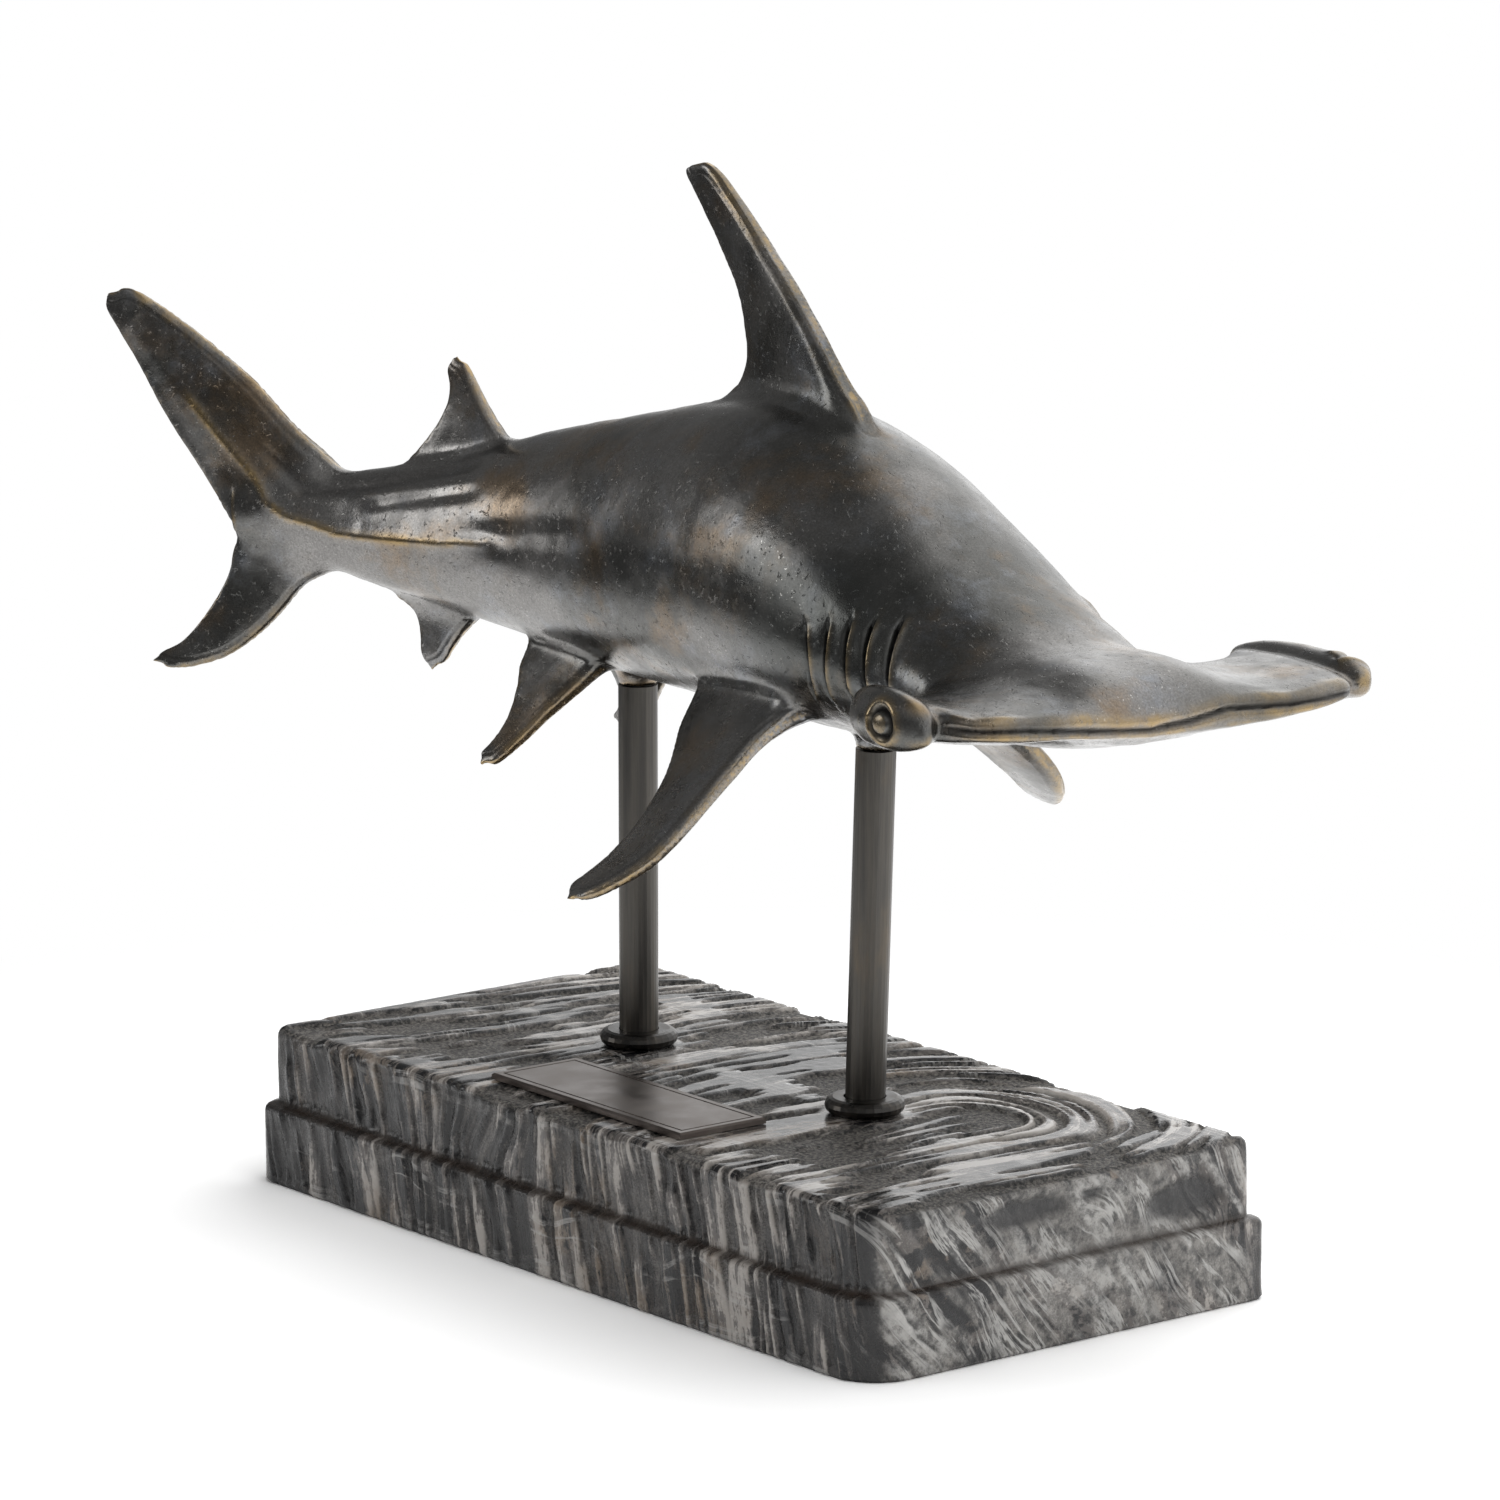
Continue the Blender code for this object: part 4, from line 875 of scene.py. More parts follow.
def settle(shark, forms, blends):
    """Puts the skin on the exact forms, with a fillet wherever two of them meet at an angle."""
    points = points_of(shark)
    edges = edges_of(shark)
    away, places, facing = nearest_forms(points, forms, BODY_BLEND * MM)
    row = np.arange(len(points))
    first = away.argmin(axis=0)
    target = np.where(away[first, row][:, None] < 1.0, places[first, row], points)
    widths = np.array(blends) * MM
    swell = np.zeros(len(points))
    others = away.copy()
    others[first, row] = 1e3
    for number in range(len(forms)):
        width = np.minimum(widths[number], widths[first])
        gap = np.clip(width - others[number], 0, None)
        turn = np.clip(1.15 * (1 - (facing[number] * facing[first, row]).sum(axis=1)), 0, 1)
        rise = ((places[number] - points) * facing[first, row]).sum(axis=1)
        shown = smooth_step(rise / np.maximum(others[number], 0.3 * MM), -0.85, -0.35)
        swell = np.maximum(swell, gap**2 / (4 * width) * turn * shown)
    hold = np.ones(len(points))
    for number in range(len(forms)):
        reach = JUNCTION_REACH * np.minimum(widths[number], widths[first])
        hold = np.minimum(hold, smooth_step(others[number] / reach, 0.12, 1.0))
    hold = hold[:, None]
    outward = normals_of(shark)
    for _ in range(6):
        outward += neighbour_mean(outward, edges) - outward
    outward /= np.maximum(np.linalg.norm(outward, axis=1), 1e-9)[:, None]
    lifted = outward * swell[:, None]
    moved = points + (target - points) * hold + lifted
    free = 1 - hold
    for _ in range(40):
        moved += 0.5 * free * (neighbour_mean(moved, edges) - moved)
    for _ in range(3):
        moved += 0.4 * (neighbour_mean(moved, edges) - moved)
        moved += (target + lifted - moved) * hold * 0.6
    set_points(shark, moved)


def tip_distance(points, tips):
    return np.linalg.norm(points[:, None] - tips, axis=2).min(axis=1) / MM


def round_tips(shark, tips):
    """Evens out the skin round the fins' tips."""
    points = points_of(shark)
    edges = edges_of(shark)
    near = smooth_step(tip_distance(points, tips), 6.0, 2.5)[:, None]
    for _ in range(10):
        points += 0.5 * near * (neighbour_mean(points, edges) - points)
    set_points(shark, points)


def line_bump(straight, line, width, ends=12.0):
    """1 along a line on the flank, fading to its sides and towards both of its ends."""
    curve = np.array(line, float)
    result = np.zeros(len(straight))
    low = curve.min(axis=0) - 4 * width
    high = curve.max(axis=0) + 4 * width
    places = straight[:, [0, 2]]
    near = np.nonzero(((places > low) & (places < high)).all(axis=1))[0]
    away, _, along = curve_distance(places[near], curve)
    walked = np.linalg.norm(np.diff(curve, axis=0), axis=1).sum()
    fade = smooth_step(along * walked, 0.0, ends) * smooth_step((1 - along) * walked, 0.0, ends)
    result[near] = hump(away, 0.0, width) * fade
    return result


class Marks:
    """How far each point of the skin is pushed out, in millimetres, and how grimy and how rubbed it is."""

    def __init__(self, push):
        self.push = push
        self.grime = np.zeros(len(push))
        self.rub = np.zeros(len(push))

    def add(self, push, grime=0.0, rub=0.0, at=slice(None)):
        self.push[at] += push
        self.grime[at] = np.maximum(self.grime[at], grime)
        self.rub[at] = np.maximum(self.rub[at], rub)


def mark_flank(marks, straight, sides):
    """The keel and the creases of the tail, and the swelling of the flank."""
    x, _, z = straight.T
    keel = line_bump(straight, KEEL, 1.7)
    shelf = line_bump(straight, KEEL, 5.5, 20.0)
    upper = line_bump(straight, UPPER_CREASE, 2.2) * sides
    middle = line_bump(straight, MIDDLE_CREASE, 2.6)
    lower = line_bump(straight, LOWER_CREASE, 5.0, 24.0)
    swell = hump(x, FLANK_SWELL[0], 20.0) * hump(z, FLANK_SWELL[1], 9.0)
    push = (1.1 * keel + 0.8 * shelf - 1.1 * middle - 1.3 * lower + 1.1 * swell) * sides - 1.2 * upper
    marks.add(push, 0.35 * upper, 0.75 * keel * sides * smooth_step(-x, 135.0, 175.0))


def mark_gills(marks, straight):
    """Slits with a raised lip, each under the flap of the one ahead."""
    x, y, z = straight.T
    chosen = np.nonzero((np.abs(y) > 20) & (x > 75) & (x < 165) & (z > 225) & (z < 290))[0]
    for row in GILLS:
        away, side, along = curve_distance(straight[chosen][:, [0, 2]], gill_curve(row))
        taper = np.clip(np.sin(np.pi * np.clip(along, 0.02, 0.98)) * 1.9, 0, 1)
        signed = away * side
        slit = hump(away, 0.0, 1.25 * (0.4 + 0.6 * taper))
        lip = hump(signed, 2.1, 1.1)
        flap = np.where(signed > 0, 1.1 * np.exp(-signed / 5.5), -0.7 * np.exp(signed / 3.5))
        push = taper * (-2.7 * slit + 0.55 * lip + flap)
        marks.add(push, slit * (0.3 + 0.7 * taper), 0.5 * lip * taper * (slit < 0.25), chosen)


def mark_eyes(marks, straight):
    """A domed eye in a ring groove, inside a raised rim."""
    radius = eye_distance(straight)
    dome = 1.1 * np.sqrt(np.clip(1 - (radius / EYE_RADIUS) ** 2, 0, None))
    ring = hump(radius, EYE_RADIUS + 1.1, 0.95)
    rim = hump(radius, 8.0, 1.6)
    worn = np.maximum(0.75 * rim, 0.45 * (radius < EYE_RADIUS - 0.8))
    marks.add(dome - 1.6 * ring + 0.7 * rim, ring, worn)


def mark_hammer(marks, straight):
    """The groove in the hammer's front edge, between the swelling lip and the jaw."""
    y = straight[:, 1]
    rise, ahead = groove_place(straight)
    inboard = smooth_step(np.abs(y), 90.0, 82.0)
    front = smooth_step(ahead, -7.0, -1.5) * inboard
    scallop = sum(hump(y, place, 10.0) for place in LIP_SCALLOPS)
    groove = hump(rise, 0.0, 1.1) * front
    lip = hump(rise, 3.4, 2.4) * front
    jaw = hump(rise, -2.6, 1.6) * front
    roll = hump(rise, 6.0, 3.5) * smooth_step(ahead, -16.0, -4.0) * inboard
    worn = np.maximum(smooth_step(noise(straight, 30.0, 91), -0.15, 0.45), 0.8 * scallop)
    push = -1.5 * groove + (0.8 + 0.7 * scallop) * lip + 0.4 * jaw + 0.8 * scallop * roll
    marks.add(push, 0.9 * groove, 0.8 * np.maximum(lip, jaw) * worn)


def mark_mouth(marks, straight):
    away, end = mouth_distance(straight)
    mouth = hump(away, 0.0, 1.3) * (end < 3)
    marks.add(-2.2 * mouth, mouth)


def detail_casting(shark, fin_edges):
    """The casting's small forms and its skin's slow waves, with the masks that colour the bronze."""
    points = points_of(shark)
    straight = straighten(points)
    normals = normals_of(shark)
    x, y, z = straight.T
    marks = Marks(0.34 * fractal(straight, 27.0, 11, 3) + 0.07 * fractal(straight, 6.0, 17, 2))
    mark_flank(marks, straight, np.abs(normals[:, 2]) < 0.93)
    mark_gills(marks, straight)
    mark_eyes(marks, straight)
    mark_hammer(marks, straight)
    mark_mouth(marks, straight)
    set_points(shark, points + normals * marks.push[:, None] * MM)
    # Painted shade: a darkened patch on both flanks round the gills, in place of the dark reflection there
    painted_flank_shade = np.exp(-(((x - 92.0) / 46.0) ** 4) - ((z - 268.0) / 36.0) ** 4)
    add_attribute(shark, "painted_flank_shade", painted_flank_shade * smooth_step(np.abs(y), 15.0, 35.0))
    add_attribute(shark, "grime", np.clip(marks.grime, 0, 1))
    add_attribute(shark, "rub", np.clip(marks.rub + edge_wear(shark), 0, 1))
    add_attribute(shark, "from_edge", edge_distance(shark, fin_edges))


def edge_wear(shark):
    """How proud each point stands from its neighbourhood, from 0 to 1."""
    points = points_of(shark)
    edges = edges_of(shark)
    normals = normals_of(shark)
    mean = points
    for _ in range(4):
        mean = neighbour_mean(mean, edges)
    proud = ((points - mean) * normals).sum(axis=1) / MM
    return smooth_step(proud, 0.25, 1.1)


# Stone


def layer_place(points):
    """The stone's layer coordinate, in millimetres: nested arches that open towards -Y."""
    x, y, z = points.T / MM
    mm = points / MM
    below = BASE_HEIGHT / MM - z
    fold = 15.0 * hump(x, -50.0, 32.0) * smooth_step(below, 2.0, 32.0) * (y < 0)
    swirl = 4.5 * noise(mm * (1, 1, 0.4), 52.0, 3) + 1.8 * noise(mm * (1, 0.7, 0.5), 17.0, 4)
    lean = 0.20 * smooth_step(-x, 60.0, 190.0)
    across = x - lean * y - 0.2 * below + fold + swirl - ARCH_X
    rise = np.maximum(0.0, y - ARCH_Y + 3.0 * noise(mm, 38.0, 8))
    return np.hypot(across, rise)


def carved_depth(points):
    """How deep the carving of the top goes, from 0 on the polished lands to 1 in the hollows."""
    u = layer_place(points)
    mm = points / MM
    along = np.c_[u, mm[:, 1] * 0.10, mm[:, 2] * 0.10]
    lines = 0.75 * noise(along, 5.0, 21) + 0.70 * noise(along, 2.5, 22) + 0.35 * noise(mm, 24.0, 23)
    land = np.full(len(u), -1.0)
    for x, y, half_x, half_y in LANDS:
        land = np.maximum(land, 1.0 - np.hypot((mm[:, 0] - x) / half_x, (mm[:, 1] - y) / half_y))
    cut = -0.16 + 0.75 * np.clip(land * 2.2, 0.0, 1.0)
    return smooth_step(lines, cut, cut + 0.24), u


def row_spacing(count_x, count_y):
    """Evenly spaced columns, and rows that stand closer on the side where the arches close."""
    xs = np.linspace(-1, 1, count_x + 1)
    ys = np.interp(np.linspace(0, 1, count_y + 1), (0.0, 0.46, 1.0), (-1.0, 0.22, 1.0))
    return xs, ys


def rounded_outline(inset, count_x, count_y):
    """Points round the stone's outline, moved in by inset, in the same order at every level."""
    half_x = BASE_LENGTH / 2 - inset
    half_y = BASE_WIDTH / 2 - inset
    xs, ys = row_spacing(count_x, count_y)
    xs = xs * half_x
    ys = ys * half_y
    ring = [(x, -half_y) for x in xs[:-1]] + [(half_x, y) for y in ys[:-1]]
    ring += [(x, half_y) for x in xs[:0:-1]] + [(-half_x, y) for y in ys[:0:-1]]
    return round_corners(np.array(ring), half_x, half_y, inset)


def round_corners(places, half_x, half_y, inset):
    """Points of the straight-sided rectangle moved inside its rounded corners."""
    result = places.copy()
    for (sx, sy), corner in CORNERS.items():
        radius = max(corner - inset, 0.003)
        a = (places[:, 0] * sx - (half_x - radius)) / radius
        b = (places[:, 1] * sy - (half_y - radius)) / radius
        inside = (a > 0) & (b > 0)
        a = np.clip(a, 0, 1)
        b = np.clip(b, 0, 1)
        result[inside, 0] = (sx * (half_x - radius + radius * a * np.sqrt(1 - b * b / 2)))[inside]
        result[inside, 1] = (sy * (half_y - radius + radius * b * np.sqrt(1 - a * a / 2)))[inside]
    return result


def side_ribs(points, u):
    """Rounded ribs down the long sides, from 0 on the crests to 1 in the furrows."""
    mm = points / MM
    along = np.c_[u, mm[:, 1] * 0.02, mm[:, 2] * 0.06]
    ribs = 0.8 * noise(along, 6.0, 61) + 0.40 * noise(along, 2.8, 62) + 0.15 * noise(mm, 14.0, 63)
    return 1 - smooth_step(np.abs(ribs), 0.02, 0.42)


def end_relief(points):
    """The rougher ends: dark hollows and slanting ribs, from 0 to 1, and the slant's own coordinate."""
    mm = points / MM
    y, z = mm[:, 1], mm[:, 2]
    slant = y + 0.75 * z + 5.0 * noise(mm, 24.0, 71)
    ribs = noise(np.c_[slant, y * 0.1, z * 0.1], 8.0, 72) + 0.25 * noise(mm, 7.0, 73)
    ribs = 1 - smooth_step(np.abs(ribs), 0.0, 0.36)
    ribs *= 0.45 + 0.55 * smooth_step(-y, 58.0, 74.0)
    hollow = np.zeros(len(mm))
    for middle_y, middle_z, half_y, half_z in END_HOLLOWS:
        away = np.hypot((y - middle_y) / half_y, (z - middle_z) / half_z) + 0.25 * noise(mm, 9.0, 74)
        hollow = np.maximum(hollow, smooth_step(1.1 - away, 0.0, 0.45))
    return ribs, hollow, slant


def rounded_edge(top, inset, radius, steps):
    angles = np.linspace(0, math.pi / 2, steps + 1)[1:]
    return [(top - radius * (1 - math.cos(a)), inset + radius * (1 - math.sin(a))) for a in angles]


def straight_run(start, end, steps):
    shares = np.linspace(0, 1, steps + 1)[1:]
    return [(start[0] + (end[0] - start[0]) * t, start[1] + (end[1] - start[1]) * t) for t in shares]


def stone_levels():
    """Heights and insets down the side: top edge, upper wall, step, lower wall and foot."""
    levels = rounded_edge(BASE_HEIGHT, STEP_INSET, TOP_EDGE_ROUND, 5)
    levels += straight_run(levels[-1], (LOWER_STEP_HEIGHT + STEP_FOOT, STEP_INSET), 12)
    levels += straight_run(levels[-1], (LOWER_STEP_HEIGHT, LEDGE_EDGE_ROUND), 3)
    levels += rounded_edge(LOWER_STEP_HEIGHT, 0.0, LEDGE_EDGE_ROUND, 3)
    levels += straight_run(levels[-1], (FOOT_BEVEL, 0.0), 12)
    levels.append((0.0, FOOT_BEVEL))
    return levels


def stone_skin(count_x=450, count_y=92):
    """The plain block as one closed grid skin."""
    inset = STEP_INSET + TOP_EDGE_ROUND
    half_x = BASE_LENGTH / 2 - inset
    half_y = BASE_WIDTH / 2 - inset
    xs, ys = row_spacing(count_x, count_y)
    grid_x, grid_y = np.meshgrid(xs * half_x, ys * half_y, indexing="ij")
    top = round_corners(np.c_[grid_x.ravel(), grid_y.ravel()], half_x, half_y, inset)
    points = [np.c_[top, np.full(len(top), BASE_HEIGHT)]]
    number = np.arange(len(top)).reshape(count_x + 1, count_y + 1)
    faces = []
    for i in range(count_x):
        for j in range(count_y):
            faces.append((number[i, j], number[i + 1, j], number[i + 1, j + 1], number[i, j + 1]))
    rim = np.r_[number[:-1, 0], number[-1, :-1], number[:0:-1, -1], number[0, :0:-1]]
    total = len(top)
    previous = rim
    for z, level_inset in stone_levels():
        ring = rounded_outline(level_inset, count_x, count_y)
        points.append(np.c_[ring, np.full(len(ring), z)])
        current = np.arange(total, total + len(ring))
        total += len(ring)
        following = np.roll(np.arange(len(ring)), -1)
        for k, m in enumerate(following):
            faces.append((previous[k], current[k], current[m], previous[m]))
        previous = current
    faces.append(tuple(previous[::-1]))
    faces = [tuple(int(i) for i in face) for face in faces]
    return mesh_from("carved_base", np.concatenate(points), faces)


def seat_calm(points):
    """0 where a collar or the plaque is seated, and 1 on open stone."""
    calm = np.ones(len(points))
    top = points[:, 2] > BASE_HEIGHT - 0.006
    for x in POST_X:
        away = np.hypot(points[:, 0] - x, points[:, 1] - POST_Y) - SEAT_RADIUS
        calm = np.minimum(calm, smooth_step(away, -0.002, 0.003))
    dx = np.abs(points[:, 0] - PLAQUE_PLACE[0]) - PLAQUE_LENGTH / 2
    dy = np.abs(points[:, 1] - PLAQUE_PLACE[1]) - PLAQUE_WIDTH / 2
    away = np.maximum(dx, dy)
    return np.where(top, np.minimum(calm, smooth_step(away, -0.003, 0.001)), 1.0)


def carve(stone):
    points = points_of(stone)
    normals = normals_of(stone)
    depth, u = carved_depth(points)
    ribs = side_ribs(points, u)
    slanted, hollows, slant = end_relief(points)
    x, y, z = points.T
    top = smooth_step(z, BASE_HEIGHT - 0.004, BASE_HEIGHT - 0.0005)
    long_side = smooth_step(np.abs(y), 0.090, 0.0965) * (1 - top)
    end_side = smooth_step(np.abs(x), 0.188, 0.1945) * (1 - top) * (1 - long_side)
    in_step = hump(z, LOWER_STEP_HEIGHT + STEP_FOOT, 0.0013) * (1 - top)
    foot = smooth_step(z, 0.0, 0.003)
    at_corner = smooth_step(np.abs(x), 0.183, 0.193) * smooth_step(np.abs(y), 0.085, 0.095)
    calm = seat_calm(points) * (1 - 0.75 * at_corner)
    chipped = 0.35 * fractal(points / MM, 9.0, 41, 3) * (1 - top) + 0.10 * fractal(points / MM, 2.6, 47, 2)
    sunk = TOP_CARVING * top * depth * calm + SIDE_CARVING * long_side * ribs
    sunk += end_side * (END_CARVING * slanted + HOLLOW_DEPTH * hollows)
    push = -(sunk * (1 - 0.6 * at_corner) + np.abs(chipped) * calm) * (1 - 0.6 * in_step) * foot
    set_points(stone, points + normals * push[:, None] * MM)
    upper = z > LOWER_STEP_HEIGHT + 0.0005
    upper_tone = np.interp(x / MM, *np.array(UPPER_BANDS).T)
    lower_tone = np.interp(x / MM - 0.2 * (BASE_HEIGHT - z) / MM, *np.array(LOWER_BANDS).T)
    tone = np.where(upper, upper_tone, lower_tone)
    add_attribute(stone, "hollow", np.clip(depth * calm * top, 0, 1))
    add_attribute(stone, "furrow", np.clip(ribs * long_side + 0.7 * slanted * end_side, 0, 1))
    add_attribute(stone, "pit", np.clip(hollows * end_side, 0, 1))
    add_attribute(stone, "tone", tone * long_side + 0.5 * top + 0.62 * end_side)
    add_attribute(stone, "layer", u)
    add_attribute(stone, "slant", slant)
    # Painted shadow: the mask for the dark line painted into the groove of the step
    add_attribute(stone, "painted_step_shadow", in_step)
    add_attribute(stone, "end_face", end_side)
    add_attribute(stone, "on_top", top)


def bore_stone(stone):
    """The stud holes and their counterbores, from below."""
    for number, x in enumerate(POST_X):
        lean = math.radians(POST_LEAN[number])
        for radius, high in ((STUD_HOLE, BASE_HEIGHT + 0.01), (COUNTERBORE_RADIUS, COUNTERBORE_DEPTH)):
            rings = turned_rings(((radius, -0.01), (radius, high)), 48)
            rings[..., 0] += x + (rings[..., 2] - BASE_HEIGHT) * math.tan(lean)
            rings[..., 1] += POST_Y
            cutter = mesh_from("bore", rings.reshape(-1, 3), loft_faces(2, 48))
            cut = stone.modifiers.new("bore", "BOOLEAN")
            cut.solver = "EXACT"
            cut.operation = "DIFFERENCE"
            cut.object = cutter
            stone = evaluated_copy(stone, "carved_base")
            bpy.data.objects.remove(cutter)
    return stone


# Materials


class Value:
    """A node's output. Sums and products of values make the nodes that work them out."""

    def __init__(self, graph, socket):
        self.graph = graph
        self.socket = socket

    def __add__(self, other):
        return self.graph.math("ADD", self, other)

    def __sub__(self, other):
        return self.graph.math("SUBTRACT", self, other)

    def __rsub__(self, other):
        return self.graph.math("SUBTRACT", other, self)

    def __mul__(self, other):
        return self.graph.math("MULTIPLY", self, other)


class Graph:
    """Short calls for the nodes that a material or the world is made of."""

    def __init__(self, tree, place="Object"):
        self.tree = tree
        self.place = self.value("ShaderNodeTexCoord", place, {})

    def plug(self, socket, value):
        if isinstance(value, Value):
            self.tree.links.new(value.socket, socket)
        elif socket.type == "RGBA":
            socket.default_value = (*value, 1.0)
        else:
            socket.default_value = value

    def value(self, kind, output, inputs, **settings):
        """The named output of a new node, whose inputs are plugged by name or number."""
        node = self.tree.nodes.new(kind)
        for key, setting in settings.items():
            setattr(node, key, setting)
        for key, value in inputs.items():
            self.plug(node.inputs[key], value)
        return Value(self, node.outputs[output])

    def attribute(self, name):
        return self.value("ShaderNodeAttribute", "Fac", {}, attribute_name=name)

    def ray(self, kind):
        """1 where the ray is of this kind: Camera, Glossy or Transmission."""
        return self.value("ShaderNodeLightPath", "Is %s Ray" % kind, {})

    def stretched(self, scale):
        return self.value("ShaderNodeMapping", "Vector", {"Vector": self.place, "Scale": scale})

    def parts(self, vector):
        return [self.value("ShaderNodeSeparateXYZ", axis, {0: vector}) for axis in "XYZ"]

    def joined(self, x, y, z):
        return self.value("ShaderNodeCombineXYZ", "Vector", {0: x, 1: y, 2: z})

    def noise(self, scale, detail=4.0, rough=0.55, place=None, distortion=0.0):
        inputs = {"Scale": scale, "Detail": detail, "Roughness": rough, "Distortion": distortion}
        return self.value("ShaderNodeTexNoise", "Fac", {"Vector": place or self.place, **inputs})

    def ramp(self, value, low, high, out_low=0.0, out_high=1.0):
        inputs = {"Value": value, "From Min": low, "From Max": high, "To Min": out_low, "To Max": out_high}
        return self.value("ShaderNodeMapRange", "Result", inputs, interpolation_type="SMOOTHSTEP")

    def math(self, operation, a, b=0.0):
        return self.value("ShaderNodeMath", "Value", {0: a, 1: b}, operation=operation)

    def larger(self, a, b):
        return self.math("MAXIMUM", a, b)

    def mix(self, factor, a, b):
        return self.value("ShaderNodeMix", "Result", {"Factor": factor, "A": a, "B": b}, data_type="RGBA")

    def bump(self, height, distance, strength, normal=None):
        inputs = {"Height": height, "Distance": distance, "Strength": strength}
        if normal is not None:
            inputs["Normal"] = normal
        return self.value("ShaderNodeBump", "Normal", inputs)


def material(name, metallic):
    made = bpy.data.materials.new(name)
    made.use_nodes = True
    shader = made.node_tree.nodes["Principled BSDF"]
    shader.inputs["Metallic"].default_value = metallic
    return made, shader, Graph(made.node_tree)


def finish_shader(g, shader, colour, rough, normal):
    g.plug(shader.inputs["Base Color"], colour)
    g.plug(shader.inputs["Roughness"], rough)
    g.plug(shader.inputs["Normal"], normal)


def edge_distance(shark, fin_edges):
    """Distance from the nearest fin's front edge, in millimetres, up to 30."""
    steps = np.linspace(0, 1, 9)[:-1, None]
    same_fin = np.linalg.norm(np.diff(fin_edges, axis=0), axis=1) < 0.012
    ends = zip(fin_edges[:-1][same_fin], fin_edges[1:][same_fin])
    dense = np.concatenate([a + (b - a) * steps for a, b in ends])
    tree = KDTree(len(dense))
    for i, point in enumerate(dense):
        tree.insert(point, i)
    tree.balance()
    return np.array([min(tree.find(point)[2] / MM, 30.0) for point in points_of(shark)])


def bronze():
    """Dark patina with brown and blue-grey clouds, pale flecks, gold worn edges, grime in the cuts and
    painted shade by the gills.
    """
    made, shader, g = material("patinated_bronze_fine", 1.0)
    cloud = g.ramp(g.noise(11.0, 6.0, 0.6), 0.40, 0.62)
    colour = g.mix(cloud, (0.130, 0.130, 0.124), (0.255, 0.248, 0.240))
    warm = g.ramp(g.noise(19.0, 6.0, 0.65), 0.50, 0.70)
    colour = g.mix(warm * 0.65, colour, (0.270, 0.185, 0.105))
    haze = g.ramp(g.noise(34.0, 7.0, 0.7), 0.50, 0.75)
    colour = g.mix(haze * 0.65, colour, (0.30, 0.32, 0.355))
    grain = g.ramp(g.noise(1150.0, 3.0, 0.6), 0.36, 0.64, 0.0, 0.32)
    colour = g.mix(grain, colour, (0.050, 0.048, 0.045))
    # Painted shade: the bronze darkened on the flanks round the gills
    deep = g.attribute("painted_flank_shade") * g.ramp(g.noise(30.0, 6.0, 0.7), 0.30, 0.60, 0.45, 0.85)
    colour = g.mix(deep, colour, (0.070, 0.073, 0.070))
    fleck = g.ramp(g.noise(900.0, 2.0), 0.66, 0.73) * g.ramp(g.noise(22.0, 3.0), 0.50, 0.66)
    colour = g.mix(fleck * 0.75, colour, (0.60, 0.59, 0.56))
    away = g.attribute("from_edge")
    wear = g.noise(120.0, 5.0, 0.7)
    worn_edge = g.ramp(away + wear * 5.0, 4.3, 2.6)
    patchy = g.attribute("rub") * g.ramp(wear, 0.34, 0.60, 0.35, 1.0)
    colour = g.mix(g.larger(worn_edge * 0.70, patchy * 0.75), colour, (0.44, 0.31, 0.14))
    line = g.ramp(away, 3.2, 4.3) * g.ramp(away, 5.6, 4.5)
    colour = g.mix(line * 0.25, colour, (0.040, 0.036, 0.032))
    grime = g.attribute("grime")
    colour = g.mix(grime, colour, (0.016, 0.015, 0.014))
    rough = g.ramp(g.noise(45.0, 6.0, 0.7), 0.3, 0.7, 0.19, 0.35) + grime * 0.35
    normal = g.bump(g.ramp(g.noise(420.0, 3.0, 0.6), 0.28, 0.40), 0.00016, 0.7)
    normal = g.bump(g.noise(1500.0, 3.0), 0.00006, 0.5, normal)
    normal = g.bump(g.noise(240.0, 4.0, 0.6), 0.00022, 0.4, normal)
    normal = g.bump(1.0 - line, 0.0002, 0.6, normal)
    finish_shader(g, shader, colour, rough, normal)
    return made


def brushed_post():
    """Darkened metal drawn along Z, with soft stains."""
    made, shader, g = material("darkened_post_fine", 1.0)
    drawn = g.noise(1.0, 6.0, 0.65, g.stretched((420.0, 420.0, 12.0)))
    stain = g.noise(38.0, 5.0, 0.6, g.stretched((1.0, 1.0, 0.35)))
    colour = g.mix(g.ramp(drawn, 0.3, 0.7), (0.075, 0.072, 0.068), (0.120, 0.112, 0.100))
    colour = g.mix(g.ramp(stain, 0.52, 0.72, 0.0, 0.5), colour, (0.17, 0.13, 0.085))
    finish_shader(g, shader, colour, g.ramp(drawn, 0.3, 0.7, 0.30, 0.46), g.bump(drawn, 0.00008, 0.5))
    return made


def stained_metal(slot):
    """Plain metal with soft stains and a fine grain, from its row of the table."""
    shades, stain, parting, roughness, grain, grain_height = STAINED_METALS[slot]
    made, shader, g = material(slot + "_fine", 1.0)
    spots = g.noise(*stain)
    colour = g.mix(g.ramp(spots, *parting), *shades)
    normal = g.bump(g.noise(grain, 3.0), grain_height, 0.5)
    finish_shader(g, shader, colour, g.ramp(spots, 0.3, 0.7, *roughness), normal)
    return made


